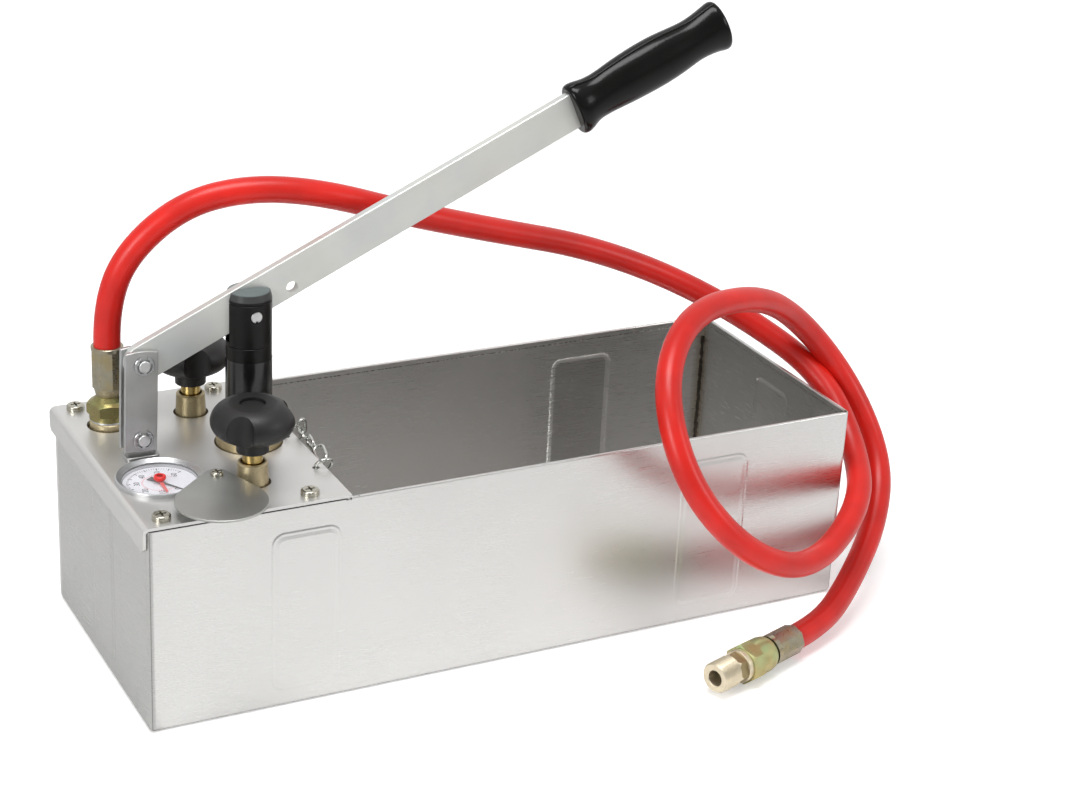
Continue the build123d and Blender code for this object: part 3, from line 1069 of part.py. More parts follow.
def valve_knob(centre, scallops):
    place = Plane(origin=(centre[0], centre[1], 0.0), x_dir=(1.0, 0.0, 0.0), z_dir=(0.0, -1.0, 0.0))
    top_radius, top_z = KNOB_PROFILE[-1]
    with BuildPart() as knob:
        with BuildSketch(place):
            with BuildLine():
                Polyline((0.0, top_z), (0.0, SPINDLE_TOP), (KNOB_HUB_RADIUS, SPINDLE_TOP),
                         (KNOB_HUB_RADIUS, KNOB_HUB_TOP), KNOB_PROFILE[0])
                Spline(*KNOB_PROFILE)
                Line((top_radius, top_z), (0.0, top_z))
            make_face()
        revolve(axis=Axis((centre[0], centre[1], 0.0), (0.0, 0.0, 1.0)))
        for angle in scallops:
            turn = math.radians(angle)
            spot = (centre[0] + KNOB_SCALLOP_AT * math.cos(turn), centre[1] + KNOB_SCALLOP_AT * math.sin(turn))
            post(spot, KNOB_SCALLOP_RADIUS, SPINDLE_TOP, top_z + SHEET, Mode.SUBTRACT)
        post(centre, KNOB_RECESS_RADIUS, top_z - KNOB_RECESS_DEPTH, top_z, Mode.SUBTRACT)
        post(centre, SPIGOT_RADIUS + THREAD_GAP, SPINDLE_TOP, SPIGOT_TOP, Mode.SUBTRACT)
    return knob.part


def knob_cap(centre):
    low = KNOB_PROFILE[-1][1] - KNOB_RECESS_DEPTH
    with BuildPart() as cap:
        post(centre, CAP_RADIUS, low, low + CAP_HEIGHT)
        fillet(cap.edges().group_by(Axis.Z)[-1], CAP_ROUND)
    return cap.part


for valve, valve_at, valve_scallops in (
    ("front", FRONT_VALVE_AT, FRONT_SCALLOPS),
    ("rear", REAR_VALVE_AT, REAR_SCALLOPS),
):
    for piece, shape in (
        ("valve_body", valve_body(valve_at)),
        ("valve_spindle", valve_spindle(valve_at)),
        ("valve_knob", valve_knob(valve_at, valve_scallops)),
        ("knob_cap", knob_cap(valve_at)),
    ):
        shape.label = valve + "_" + piece
        export_step(shape, "parts/" + valve + "_" + piece + ".step")

with BuildPart() as gauge_case:
    turned(GAUGE_AT, [
        (0.0, GAUGE_STEM_LOW),
        (GAUGE_STEM_RADIUS, GAUGE_STEM_LOW),
        (GAUGE_STEM_RADIUS, GAUGE_CASE_LOW),
        (GAUGE_CASE_RADIUS, GAUGE_CASE_LOW),
        (GAUGE_CASE_RADIUS, GAUGE_CASE_TOP),
        (GAUGE_CASE_RADIUS - GAUGE_CASE_WALL, GAUGE_CASE_TOP),
        (GAUGE_CASE_RADIUS - GAUGE_CASE_WALL, DIAL_LOW - LEDGE_GAP),
        (GAUGE_CASE_RADIUS - GAUGE_CASE_WALL - GAUGE_LEDGE, DIAL_LOW - LEDGE_GAP),
        (GAUGE_CASE_RADIUS - GAUGE_CASE_WALL - GAUGE_LEDGE, GAUGE_CASE_LOW + GAUGE_CASE_WALL),
        (GAUGE_SOCKET_RADIUS, GAUGE_CASE_LOW + GAUGE_CASE_WALL),
        (GAUGE_SOCKET_RADIUS, GAUGE_SOCKET_TOP),
        (0.0, GAUGE_SOCKET_TOP),
    ])
    post(GAUGE_AT, NEEDLE_SPINDLE_RADIUS, GAUGE_STEM_LOW, GAUGE_SOCKET_TOP, Mode.SUBTRACT)
gauge_case.part.label = "gauge_case"
export_step(gauge_case.part, "parts/gauge_case.step")

with BuildPart() as gauge_bezel:
    turned(GAUGE_AT, [
        (BEZEL_SEAT, BEZEL_LOW),
        (BEZEL_RADIUS, BEZEL_LOW),
        (BEZEL_RADIUS, BEZEL_WALL_TOP),
        (BEZEL_RADIUS - BEZEL_CROWN_INSET * BEZEL_CORNER_SHARE,
         BEZEL_TOP - (BEZEL_TOP - BEZEL_WALL_TOP) * BEZEL_CORNER_SHARE),
        (BEZEL_CROWN_RADIUS, BEZEL_TOP),
        (BEZEL_LIP_RADIUS, BEZEL_LIP_TOP),
        (BEZEL_LIP_RADIUS, BEZEL_SEAT_TOP),
        (BEZEL_SEAT, BEZEL_SEAT_TOP),
    ])
gauge_bezel.part.label = "gauge_bezel"
export_step(gauge_bezel.part, "parts/gauge_bezel.step")

with BuildPart() as gauge_dial:
    post(GAUGE_AT, DIAL_RADIUS, DIAL_LOW, DIAL_LOW + DIAL_THICKNESS)
    post(GAUGE_AT, DIAL_HOLE, DIAL_LOW, DIAL_LOW + DIAL_THICKNESS, Mode.SUBTRACT)
gauge_dial.part.label = "gauge_dial"
export_step(gauge_dial.part, "parts/gauge_dial.step")

with BuildPart() as gauge_lens:
    post(GAUGE_AT, LENS_RADIUS, LENS_LOW, LENS_LOW + LENS_THICKNESS)
    post(GAUGE_AT, LENS_HOLE, LENS_LOW, LENS_LOW + LENS_THICKNESS, Mode.SUBTRACT)
gauge_lens.part.label = "gauge_lens"
export_step(gauge_lens.part, "parts/gauge_lens.step")

with BuildPart() as gauge_needle:
    needle_turn = math.radians(NEEDLE_ANGLE)
    needle_plane = Plane(origin=(GAUGE_AT[0], GAUGE_AT[1], NEEDLE_HUB_LOW),
                         x_dir=(math.cos(needle_turn), math.sin(needle_turn), 0.0), z_dir=(0.0, 0.0, 1.0))
    post(GAUGE_AT, NEEDLE_HUB_RADIUS, NEEDLE_HUB_LOW, NEEDLE_HUB_TOP)
    post(GAUGE_AT, NEEDLE_SPINDLE_RADIUS, NEEDLE_SPINDLE_LOW, NEEDLE_HUB_LOW)
    with BuildSketch(needle_plane):
        with BuildLine():
            Polyline((0.0, NEEDLE_ROOT_HALF), (-NEEDLE_TAIL, NEEDLE_TAIL_HALF), (-NEEDLE_TAIL, -NEEDLE_TAIL_HALF),
                     (0.0, -NEEDLE_ROOT_HALF), (NEEDLE_LENGTH, -NEEDLE_TIP_HALF), (NEEDLE_LENGTH, NEEDLE_TIP_HALF),
                     close=True)
        make_face()
    extrude(amount=NEEDLE_BLADE_HEIGHT)
gauge_needle.part.label = "gauge_needle"
export_step(gauge_needle.part, "parts/gauge_needle.step")

with BuildPart() as gauge_marker:
    marker_turn = math.radians(MARKER_ANGLE)
    marker_plane = Plane(origin=(GAUGE_AT[0], GAUGE_AT[1], MARKER_ARM_LOW),
                         x_dir=(math.cos(marker_turn), math.sin(marker_turn), 0.0), z_dir=(0.0, 0.0, 1.0))
    post(GAUGE_AT, MARKER_KNOB_RADIUS, MARKER_KNOB_LOW, MARKER_KNOB_TOP)
    chamfer(gauge_marker.edges().group_by(Axis.Z)[-1], MARKER_KNOB_EDGE)
    post(GAUGE_AT, MARKER_KNOB_HOLLOW, MARKER_KNOB_TOP - MARKER_KNOB_HOLLOW_DEPTH, MARKER_KNOB_TOP, Mode.SUBTRACT)
    post(GAUGE_AT, MARKER_SHAFT_RADIUS, MARKER_ARM_LOW, MARKER_KNOB_LOW)
    with BuildSketch(marker_plane):
        Circle(NEEDLE_HUB_RADIUS)
        with BuildLine():
            Polyline((0.0, MARKER_ROOT_HALF), (0.0, -MARKER_ROOT_HALF), (MARKER_LENGTH, -MARKER_TIP_HALF),
                     (MARKER_LENGTH, MARKER_TIP_HALF), close=True)
        make_face()
    extrude(amount=MARKER_ARM_HEIGHT)
gauge_marker.part.label = "gauge_marker"
export_step(gauge_marker.part, "parts/gauge_marker.step")

with BuildPart() as gauge_flap:
    flap_turn = math.radians(FLAP_ANGLE)
    flap_plane = Plane(origin=(FLAP_AT[0], FLAP_AT[1], FLAP_LOW),
                       x_dir=(math.cos(flap_turn), math.sin(flap_turn), 0.0), z_dir=(0.0, 0.0, 1.0))
    lean = math.asin((FLAP_DISC_RADIUS - FLAP_ROOT_RADIUS) / FLAP_REACH)
    root_x = -FLAP_ROOT_RADIUS * math.sin(lean)
    root_y = FLAP_ROOT_RADIUS * math.cos(lean)
    disc_x = FLAP_REACH - FLAP_DISC_RADIUS * math.sin(lean)
    disc_y = FLAP_DISC_RADIUS * math.cos(lean)
    with BuildSketch(flap_plane):
        with BuildLine():
            Line((root_x, root_y), (disc_x, disc_y))
            ThreePointArc((disc_x, disc_y), (FLAP_REACH + FLAP_DISC_RADIUS, 0.0), (disc_x, -disc_y))
            Line((disc_x, -disc_y), (root_x, -root_y))
            ThreePointArc((root_x, -root_y), (-FLAP_ROOT_RADIUS, 0.0), (root_x, root_y))
        make_face()
    extrude(amount=FLAP_SHEET)
    chamfer(gauge_flap.edges().group_by(Axis.Z)[-1], FLAP_EDGE)
    post(FLAP_AT, FLAP_HOLE, FLAP_LOW, FLAP_LOW + FLAP_SHEET, Mode.SUBTRACT)
gauge_flap.part.label = "gauge_flap"
export_step(gauge_flap.part, "parts/gauge_flap.step")

with BuildPart() as flap_spacer:
    post(FLAP_AT, FLAP_SPACER_RADIUS, COVER_TOP, FLAP_LOW - FLAP_FACE_GAP)
    post(FLAP_AT, FLAP_SHANK_RADIUS + THREAD_GAP, COVER_TOP, FLAP_LOW, Mode.SUBTRACT)
flap_spacer.part.label = "flap_spacer"
export_step(flap_spacer.part, "parts/flap_spacer.step")

with BuildPart() as flap_screw:
    flap_head_low = FLAP_LOW + FLAP_SHEET + FLAP_FACE_GAP
    post(FLAP_AT, FLAP_SCREW_HEAD_RADIUS, flap_head_low, flap_head_low + FLAP_SCREW_HEAD_HEIGHT)
    fillet(flap_screw.edges().group_by(Axis.Z)[-1], FLAP_SCREW_ROUND)
    post(FLAP_AT, FLAP_SHANK_RADIUS, FLAP_SCREW_LOW, flap_head_low)
    for length, width in [(RECESS_LENGTH, RECESS_WIDTH), (RECESS_WIDTH, RECESS_LENGTH)]:
        slab(FLAP_AT[0] - length / 2, FLAP_AT[0] + length / 2, FLAP_AT[1] - width / 2, FLAP_AT[1] + width / 2,
             flap_head_low + FLAP_SCREW_HEAD_HEIGHT / 2, flap_head_low + FLAP_SCREW_HEAD_HEIGHT, Mode.SUBTRACT)
flap_screw.part.label = "flap_screw"
export_step(flap_screw.part, "parts/flap_screw.step")

with BuildPart() as flap_nut:
    hexagon(FLAP_AT, FLAP_NUT_FLATS, TANK_HEIGHT - FLAP_NUT_HEIGHT, TANK_HEIGHT)
    post(FLAP_AT, FLAP_SHANK_RADIUS + THREAD_GAP, TANK_HEIGHT - FLAP_NUT_HEIGHT, TANK_HEIGHT, Mode.SUBTRACT)
flap_nut.part.label = "flap_nut"
export_step(flap_nut.part, "parts/flap_nut.step")

with BuildPart() as outlet_adapter:
    post(OUTLET_AT, ADAPTER_COLLAR_RADIUS, ADAPTER_COLLAR_LOW, ADAPTER_COLLAR_TOP)
    chamfer(outlet_adapter.edges().group_by(Axis.Z)[-1], ADAPTER_EDGE)
    post(OUTLET_AT, ADAPTER_STUB_RADIUS, ADAPTER_LOW, ADAPTER_COLLAR_LOW)
    post(OUTLET_AT, ADAPTER_BORE, ADAPTER_LOW, ADAPTER_COLLAR_TOP, Mode.SUBTRACT)
outlet_adapter.part.label = "outlet_adapter"
export_step(outlet_adapter.part, "parts/outlet_adapter.step")

with BuildPart() as outlet_washer:
    post(OUTLET_AT, WASHER_RADIUS, ADAPTER_COLLAR_TOP, WASHER_TOP)
    post(OUTLET_AT, ADAPTER_BORE, ADAPTER_COLLAR_TOP, WASHER_TOP, Mode.SUBTRACT)
outlet_washer.part.label = "outlet_washer"
export_step(outlet_washer.part, "parts/outlet_washer.step")

with BuildPart() as hose_nut:
    hexagon(OUTLET_AT, HOSE_NUT_FLATS, HOSE_NUT_HEX_LOW, HOSE_NUT_TOP, HOSE_NUT_TURN)
    nut_corner = HOSE_NUT_FLATS / math.sqrt(3)
    nut_slope = math.tan(math.radians(HOSE_NUT_CROWN_SLOPE))
    turned(OUTLET_AT, [
        (0.0, HOSE_NUT_HEX_LOW),
        (HOSE_NUT_BASE_RADIUS, HOSE_NUT_HEX_LOW),
        (nut_corner, HOSE_NUT_HEX_LOW + (nut_corner - HOSE_NUT_BASE_RADIUS) * nut_slope),
        (nut_corner, HOSE_NUT_TOP - (nut_corner - HOSE_NUT_CROWN_RADIUS) * nut_slope),
        (HOSE_NUT_CROWN_RADIUS, HOSE_NUT_TOP),
        (0.0, HOSE_NUT_TOP),
    ], Mode.INTERSECT)
    post(OUTLET_AT, HOSE_NUT_BASE_RADIUS, WASHER_TOP, HOSE_NUT_HEX_LOW)
    turned(OUTLET_AT, [
        (0.0, HOSE_NUT_TOP),
        (HOSE_NUT_CROWN_RADIUS, HOSE_NUT_TOP),
        (SHOULDER_RADIUS, SHOULDER_TOP),
        (0.0, SHOULDER_TOP),
    ])
    post(OUTLET_AT, ADAPTER_BORE, WASHER_TOP, SHOULDER_TOP, Mode.SUBTRACT)
hose_nut.part.label = "hose_nut"
export_step(hose_nut.part, "parts/hose_nut.step")

with BuildPart() as hose_ferrule:
    turned(OUTLET_AT, [
        (0.0, FERRULE_LOW),
        (FERRULE_SKIRT_LOW_RADIUS, FERRULE_LOW),
        (FERRULE_SKIRT_HIGH_RADIUS, FERRULE_SKIRT_TOP),
        (FERRULE_RADIUS, FERRULE_SKIRT_TOP),
        (FERRULE_RADIUS, FERRULE_TOP),
        (0.0, FERRULE_TOP),
    ])
    with BuildSketch(Plane.XY.offset(FERRULE_SKIRT_TOP)):
        with Locations(OUTLET_AT):
            Circle(FERRULE_RADIUS)
            RegularPolygon(FERRULE_CRIMP_FLATS / 2, FERRULE_CRIMPS, major_radius=False, mode=Mode.SUBTRACT)
    extrude(amount=FERRULE_TOP - FERRULE_SKIRT_TOP - FERRULE_LIP, mode=Mode.SUBTRACT)
    chamfer(hose_ferrule.edges().group_by(Axis.Z)[-1], FERRULE_EDGE)
    post(OUTLET_AT, ADAPTER_BORE, FERRULE_LOW, FERRULE_TOP, Mode.SUBTRACT)
hose_ferrule.part.label = "hose_ferrule"
export_step(hose_ferrule.part, "parts/hose_ferrule.step")

route = [Vector(*point) for point in HOSE_ROUTE]
runs = [(after - before).length for before, after in zip(route, route[1:])]
bends = []
for before, here, after in zip(route, route[1:], route[2:]):
    turn = math.radians((here - before).get_angle(after - here))
    bends.append(BEND_SHARE * min((here - before).length, (after - here).length) / math.tan(turn / 2))
print("hose runs", [round(run, 1) for run in runs])
print("hose bend radii", [round(bend, 1) for bend in bends])

with BuildPart() as hose:
    with BuildLine() as hose_path:
        FilletPolyline(*HOSE_ROUTE, radius=bends)
    with BuildSketch(Plane.XY.offset(HOSE_ROUTE[0][2])):
        with Locations(HOSE_ROUTE[0][:2]):
            Circle(HOSE_RADIUS)
            Circle(HOSE_BORE, mode=Mode.SUBTRACT)
    sweep()
hose.part.label = "hose"
export_step(hose.part, "parts/hose.step")
hose_length = sum(edge.length for edge in hose_path.edges())
hose_section = math.pi * (HOSE_RADIUS ** 2 - HOSE_BORE ** 2)
print("hose length", round(hose_length, 1), "volume share", round(hose.part.volume / hose_section / hose_length, 4))

with BuildPart() as end_ferrule:
    end_post(FERRULE_RADIUS, 0.0, END_FERRULE_LENGTH)
    with BuildSketch(end_plane(0.0)):
        Circle(FERRULE_RADIUS)
        RegularPolygon(FERRULE_CRIMP_FLATS / 2, FERRULE_CRIMPS, major_radius=False, mode=Mode.SUBTRACT)
    extrude(amount=END_FERRULE_LENGTH - END_FERRULE_COLLAR, mode=Mode.SUBTRACT)
    end_post(END_NECK_RADIUS, END_FERRULE_LENGTH, END_NUT_START)
    end_post(ADAPTER_BORE, 0.0, END_NUT_START, Mode.SUBTRACT)
end_ferrule.part.label = "end_ferrule"
export_step(end_ferrule.part, "parts/end_ferrule.step")

with BuildPart() as end_nut:
    end_hexagon(END_NUT_FLATS, END_NUT_TURN, END_NUT_HEX_START, END_NUT_END)
    end_corner = END_NUT_FLATS / math.sqrt(3)
    end_turned([
        (0.0, END_NUT_HEX_START),
        (END_NUT_ROUND_RADIUS, END_NUT_HEX_START),
        (end_corner, END_NUT_HEX_START + (end_corner - END_NUT_ROUND_RADIUS) / 2),
        (end_corner, END_NUT_END - END_NUT_BEVEL / 2),
        (end_corner - END_NUT_BEVEL, END_NUT_END),
        (0.0, END_NUT_END),
    ], Mode.INTERSECT)
    end_turned([
        (0.0, END_NUT_START),
        (END_NUT_BACK_RADIUS, END_NUT_START),
        (END_NUT_BACK_RADIUS + (END_NUT_ROUND_RADIUS - END_NUT_BACK_RADIUS) * (1 - END_NUT_SHOULDER_SHARE),
         END_NUT_START + (END_NUT_ROUND_START - END_NUT_START) * END_NUT_SHOULDER_SHARE),
        (END_NUT_ROUND_RADIUS, END_NUT_ROUND_START),
        (END_NUT_ROUND_RADIUS, END_NUT_HEX_START),
        (0.0, END_NUT_HEX_START),
    ])
    end_post(ADAPTER_BORE, END_NUT_START, END_NUT_END, Mode.SUBTRACT)
end_nut.part.label = "end_nut"
export_step(end_nut.part, "parts/end_nut.step")

with BuildPart() as end_nipple:
    end_hexagon(END_HEX_FLATS, END_HEX_TURN, END_COLLAR_END, END_HEX_END)
    end_post(END_HEX_CORNER_RADIUS, END_COLLAR_END, END_HEX_END, Mode.INTERSECT)
    end_post(END_COLLAR_RADIUS, END_NUT_END, END_COLLAR_END)
    end_turned([
        (0.0, END_HEX_END),
        (END_THREAD_RADIUS, END_HEX_END),
        (END_THREAD_RADIUS, END_THREAD_END - END_THREAD_EDGE),
        (END_THREAD_RADIUS - END_THREAD_EDGE, END_THREAD_END),
        (0.0, END_THREAD_END),
    ])
    end_post(END_BORE, END_NUT_END, END_THREAD_END, Mode.SUBTRACT)
end_nipple.part.label = "end_nipple"
export_step(end_nipple.part, "parts/end_nipple.step")


def chain_link(y, roll):
    base = Plane(origin=(CHAIN_RING_X + CHAIN_RING_RADIUS, y, CHAIN_LEVEL), x_dir=(0.0, -1.0, 0.0), z_dir=(0.0, 0.0, 1.0))
    half = CHAIN_LINK_INSIDE / 2 + CHAIN_WIRE
    bend = CHAIN_LINK_HALF_WIDTH
    straight = half - bend
    with BuildPart() as link:
        with BuildLine(base.rotated((roll, 0.0, 0.0))) as wire:
            Line((-straight, bend), (straight, bend))
            ThreePointArc((straight, bend), (half, 0.0), (straight, -bend))
            Line((straight, -bend), (-straight, -bend))
            ThreePointArc((-straight, -bend), (-half, 0.0), (-straight, bend))
        with BuildSketch(Plane(origin=wire.wire() @ 0, z_dir=wire.wire() % 0)):
            Circle(CHAIN_WIRE)
        sweep(path=wire.wire())
    return link.part


def chain_ring(y):
    with BuildPart() as ring:
        with BuildSketch(Plane(origin=(CHAIN_RING_X, y, CHAIN_LEVEL), x_dir=(1.0, 0.0, 0.0), z_dir=(0.0, 0.0, 1.0))):
            with Locations((CHAIN_RING_RADIUS, 0.0)):
                Circle(CHAIN_WIRE)
        revolve(axis=Axis((CHAIN_RING_X, y, CHAIN_LEVEL), (0.0, 1.0, 0.0)))
    return ring.part


with BuildPart() as lock_chain:
    for index in range(CHAIN_LINKS):
        add(chain_link(CHAIN_FIRST_Y - CHAIN_RING_LINK_STEP - index * CHAIN_PITCH, CHAIN_ROLL * (index % 2)))
    add(chain_ring(CHAIN_FIRST_Y))
    add(chain_ring(CHAIN_LAST_Y))
lock_chain.part.label = "lock_chain"
export_step(lock_chain.part, "parts/lock_chain.step")
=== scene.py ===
import json
import math

import bmesh
import bpy
from mathutils import Matrix, Vector

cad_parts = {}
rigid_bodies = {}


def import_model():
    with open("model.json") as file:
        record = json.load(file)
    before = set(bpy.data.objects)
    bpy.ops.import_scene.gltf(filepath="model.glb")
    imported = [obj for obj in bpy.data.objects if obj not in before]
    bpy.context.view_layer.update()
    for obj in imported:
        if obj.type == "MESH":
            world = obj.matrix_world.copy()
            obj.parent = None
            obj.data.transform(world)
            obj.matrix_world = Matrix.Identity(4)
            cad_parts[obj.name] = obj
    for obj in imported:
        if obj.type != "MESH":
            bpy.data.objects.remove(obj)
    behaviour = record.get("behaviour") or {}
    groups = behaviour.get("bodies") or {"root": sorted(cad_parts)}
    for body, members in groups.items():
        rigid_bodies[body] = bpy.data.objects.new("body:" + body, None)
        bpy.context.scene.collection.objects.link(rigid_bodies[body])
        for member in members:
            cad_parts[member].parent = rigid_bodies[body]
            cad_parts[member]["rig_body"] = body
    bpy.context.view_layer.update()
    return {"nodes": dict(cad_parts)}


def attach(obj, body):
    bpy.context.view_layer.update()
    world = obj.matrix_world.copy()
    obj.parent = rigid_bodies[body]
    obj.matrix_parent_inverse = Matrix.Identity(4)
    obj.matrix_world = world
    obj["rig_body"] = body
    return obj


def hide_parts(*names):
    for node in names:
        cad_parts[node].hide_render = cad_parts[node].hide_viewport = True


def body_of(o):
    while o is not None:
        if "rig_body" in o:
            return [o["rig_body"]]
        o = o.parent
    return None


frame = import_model()
nodes = frame["nodes"]
print("frame loaded:", len(nodes), "nodes")

view = {
    "place": (-0.638883, -1.300995, 0.773675),
    "right": (0.88933, -0.45460, 0.04925),  # the camera's own axes
    "up": (0.13830, 0.37008, 0.91865),
    "back": (-0.43585, -0.81017, 0.39200),
    "lens": 77.797,
    "sensor": 36.0,
    "near": 0.05,
    "far": 50.0,
}


def placeObject(name, data):
    holder = bpy.data.objects.new(name, data)
    bpy.context.scene.collection.objects.link(holder)
    return holder


def makeCamera():
    data = bpy.data.cameras.new("photoCamera")
    data.lens = view["lens"]
    data.sensor_width = view["sensor"]
    data.sensor_fit = "HORIZONTAL"
    data.clip_start = view["near"]
    data.clip_end = view["far"]
    camera = placeObject("photoCamera", data)
    turn = Matrix((view["right"], view["up"], view["back"])).transposed()
    camera.matrix_world = Matrix.Translation(view["place"]) @ turn.to_4x4()
    bpy.context.scene.camera = camera


makeCamera()
print("camera placed")


def newMaterial(name):
    material = bpy.data.materials.new(name)
    material.use_nodes = True
    tree = material.node_tree
    return material, tree, tree.nodes["Principled BSDF"]


def objectPlace(tree):
    return tree.nodes.new("ShaderNodeTexCoord").outputs["Object"]


def axesOf(tree, vector):
    node = tree.nodes.new("ShaderNodeSeparateXYZ")
    tree.links.new(vector, node.inputs[0])
    return node.outputs


def noiseAt(tree, place, stretch, scale, detail=3.0, rough=0.55):
    mapping = tree.nodes.new("ShaderNodeMapping")
    mapping.inputs["Scale"].default_value = stretch
    tree.links.new(place, mapping.inputs["Vector"])
    noise = tree.nodes.new("ShaderNodeTexNoise")
    noise.inputs["Scale"].default_value = scale
    noise.inputs["Detail"].default_value = detail
    noise.inputs["Roughness"].default_value = rough
    tree.links.new(mapping.outputs["Vector"], noise.inputs["Vector"])
    return noise.outputs["Fac"]


def spread(tree, value, low, high, fromLow=0.3, fromHigh=0.7):
    node = tree.nodes.new("ShaderNodeMapRange")
    node.inputs["From Min"].default_value = fromLow
    node.inputs["From Max"].default_value = fromHigh
    node.inputs["To Min"].default_value = low
    node.inputs["To Max"].default_value = high
    tree.links.new(value, node.inputs["Value"])
    return node.outputs["Result"]


def combine(tree, operation, *values):
    node = tree.nodes.new("ShaderNodeMath")
    node.operation = operation
    for socket, value in zip(node.inputs, values):
        if isinstance(value, (int, float)):
            socket.default_value = value
        else:
            tree.links.new(value, socket)
    return node.outputs[0]


def reachOf(tree, first, second):
    squares = [combine(tree, "MULTIPLY", value, value) for value in (first, second)]
    return combine(tree, "SQRT", combine(tree, "ADD", *squares))


def rampOf(tree, value, stops):
    node = tree.nodes.new("ShaderNodeValToRGB")
    for stop, (position, colour) in zip(node.color_ramp.elements, stops):
        stop.position = position
        stop.color = (*colour, 1.0)
    tree.links.new(value, node.inputs["Fac"])
    return node.outputs["Color"]


def blendColour(tree, share, first, second):
    node = tree.nodes.new("ShaderNodeMix")
    node.data_type = "RGBA"
    tree.links.new(share, node.inputs["Factor"])
    for socket, value in zip((node.inputs[6], node.inputs[7]), (first, second)):
        if isinstance(value, tuple):
            socket.default_value = (*value, 1.0)
        else:
            tree.links.new(value, socket)
    return node.outputs[2]


def bumpFrom(tree, shader, value, strength, distance):
    bump = tree.nodes.new("ShaderNodeBump")
    bump.inputs["Strength"].default_value = strength
    bump.inputs["Distance"].default_value = distance
    tree.links.new(value, bump.inputs["Height"])
    previous = shader.inputs["Normal"].links
    if previous:
        tree.links.new(previous[0].from_socket, bump.inputs["Normal"])
    tree.links.new(bump.outputs["Normal"], shader.inputs["Normal"])


def around(value, share):
    return value * (1 - share), value * (1 + share)


def shade(colour, factor):
    return tuple(min(1.0, c * factor) for c in colour)


# between which values of its noise a mark comes in, and how strongly it shows
marks = {
    "clouds": (0.35, 0.65),
    "tint": (0.42, 0.66),
    "scratches": (0.66, 0.74),
    "scratchShare": 0.5,
    "scratchShade": 1.12,
    "pits": (0.60, 0.70),
    "pitShade": 0.45,
    "level": 0.7,  # a face counts as level where its normal's height is past this
}


# colour and swing: the slow variation; grain: fine marks in roughness and relief;
# tint: a second colour in patches; scratches: sparse lines; pits: small dark hollows
def makeFinish(name, finish):
    material, tree, shader = newMaterial(name)
    place = objectPlace(tree)
    colour, swing = finish["colour"], finish.get("swing", 0.06)
    clouds = noiseAt(tree, place, (1, 1, 1), finish["clouds"], detail=2.0)
    shades = [shade(colour, 1 - swing), shade(colour, 1 + swing)]
    skin = rampOf(tree, clouds, list(zip(marks["clouds"], shades)))
    if "tint" in finish:
        patches = noiseAt(tree, place, (1, 1, 1), finish["tintScale"])
        share = spread(tree, patches, 0.0, finish["tintShare"], *marks["tint"])
        skin = blendColour(tree, share, skin, finish["tint"])
    grain = noiseAt(tree, place, finish.get("grain", (1, 1, 1)), finish["grainScale"], detail=4.0)
    if "levelGrain" in finish:  # level faces are brushed along the same way as the upright ones
        flat = noiseAt(tree, place, finish["levelGrain"], finish["grainScale"], detail=4.0)
        facing = axesOf(tree, tree.nodes.new("ShaderNodeTexCoord").outputs["Normal"])
        height = combine(tree, "ABSOLUTE", facing["Z"])
        level = combine(tree, "GREATER_THAN", height, marks["level"])
        upright = combine(tree, "MULTIPLY", grain, combine(tree, "SUBTRACT", 1.0, level))
        grain = combine(tree, "ADD", upright, combine(tree, "MULTIPLY", flat, level))
    rough = spread(tree, grain, *around(finish["rough"], finish.get("roughSwing", 0.15)))
    if "scratches" in finish:
        lines = noiseAt(tree, place, finish["scratches"], finish["scratchScale"],
                        detail=1.0, rough=0.4)
        cuts = spread(tree, lines, 0.0, 1.0, *marks["scratches"])
        rough = combine(tree, "ADD", rough, combine(tree, "MULTIPLY", cuts, finish["scratchRough"]))
        share = combine(tree, "MULTIPLY", cuts, marks["scratchShare"])
        skin = blendColour(tree, share, skin, shade(colour, marks["scratchShade"]))
    if "smudge" in finish:
        smears = noiseAt(tree, place, (1, 1, 1), finish["smudgeScale"], detail=2.0)
        smears = spread(tree, smears, -finish["smudge"], finish["smudge"])
        rough = combine(tree, "ADD", rough, smears)
    if "pits" in finish:
        dots = noiseAt(tree, place, (1, 1, 1), finish["pitScale"], detail=2.0, rough=0.5)
        holes = spread(tree, dots, 0.0, 1.0, *marks["pits"])
        share = combine(tree, "MULTIPLY", holes, finish["pits"])
        skin = blendColour(tree, share, skin, shade(colour, marks["pitShade"]))
    tree.links.new(skin, shader.inputs["Base Color"])
    tree.links.new(rough, shader.inputs["Roughness"])
    shader.inputs["Metallic"].default_value = finish.get("metal", 0.0)
    if "depth" in finish:
        bumpFrom(tree, shader, grain, finish["bump"], finish["depth"])
    if "gloss" in finish:
        shader.inputs["Specular IOR Level"].default_value = finish["gloss"]
    return material


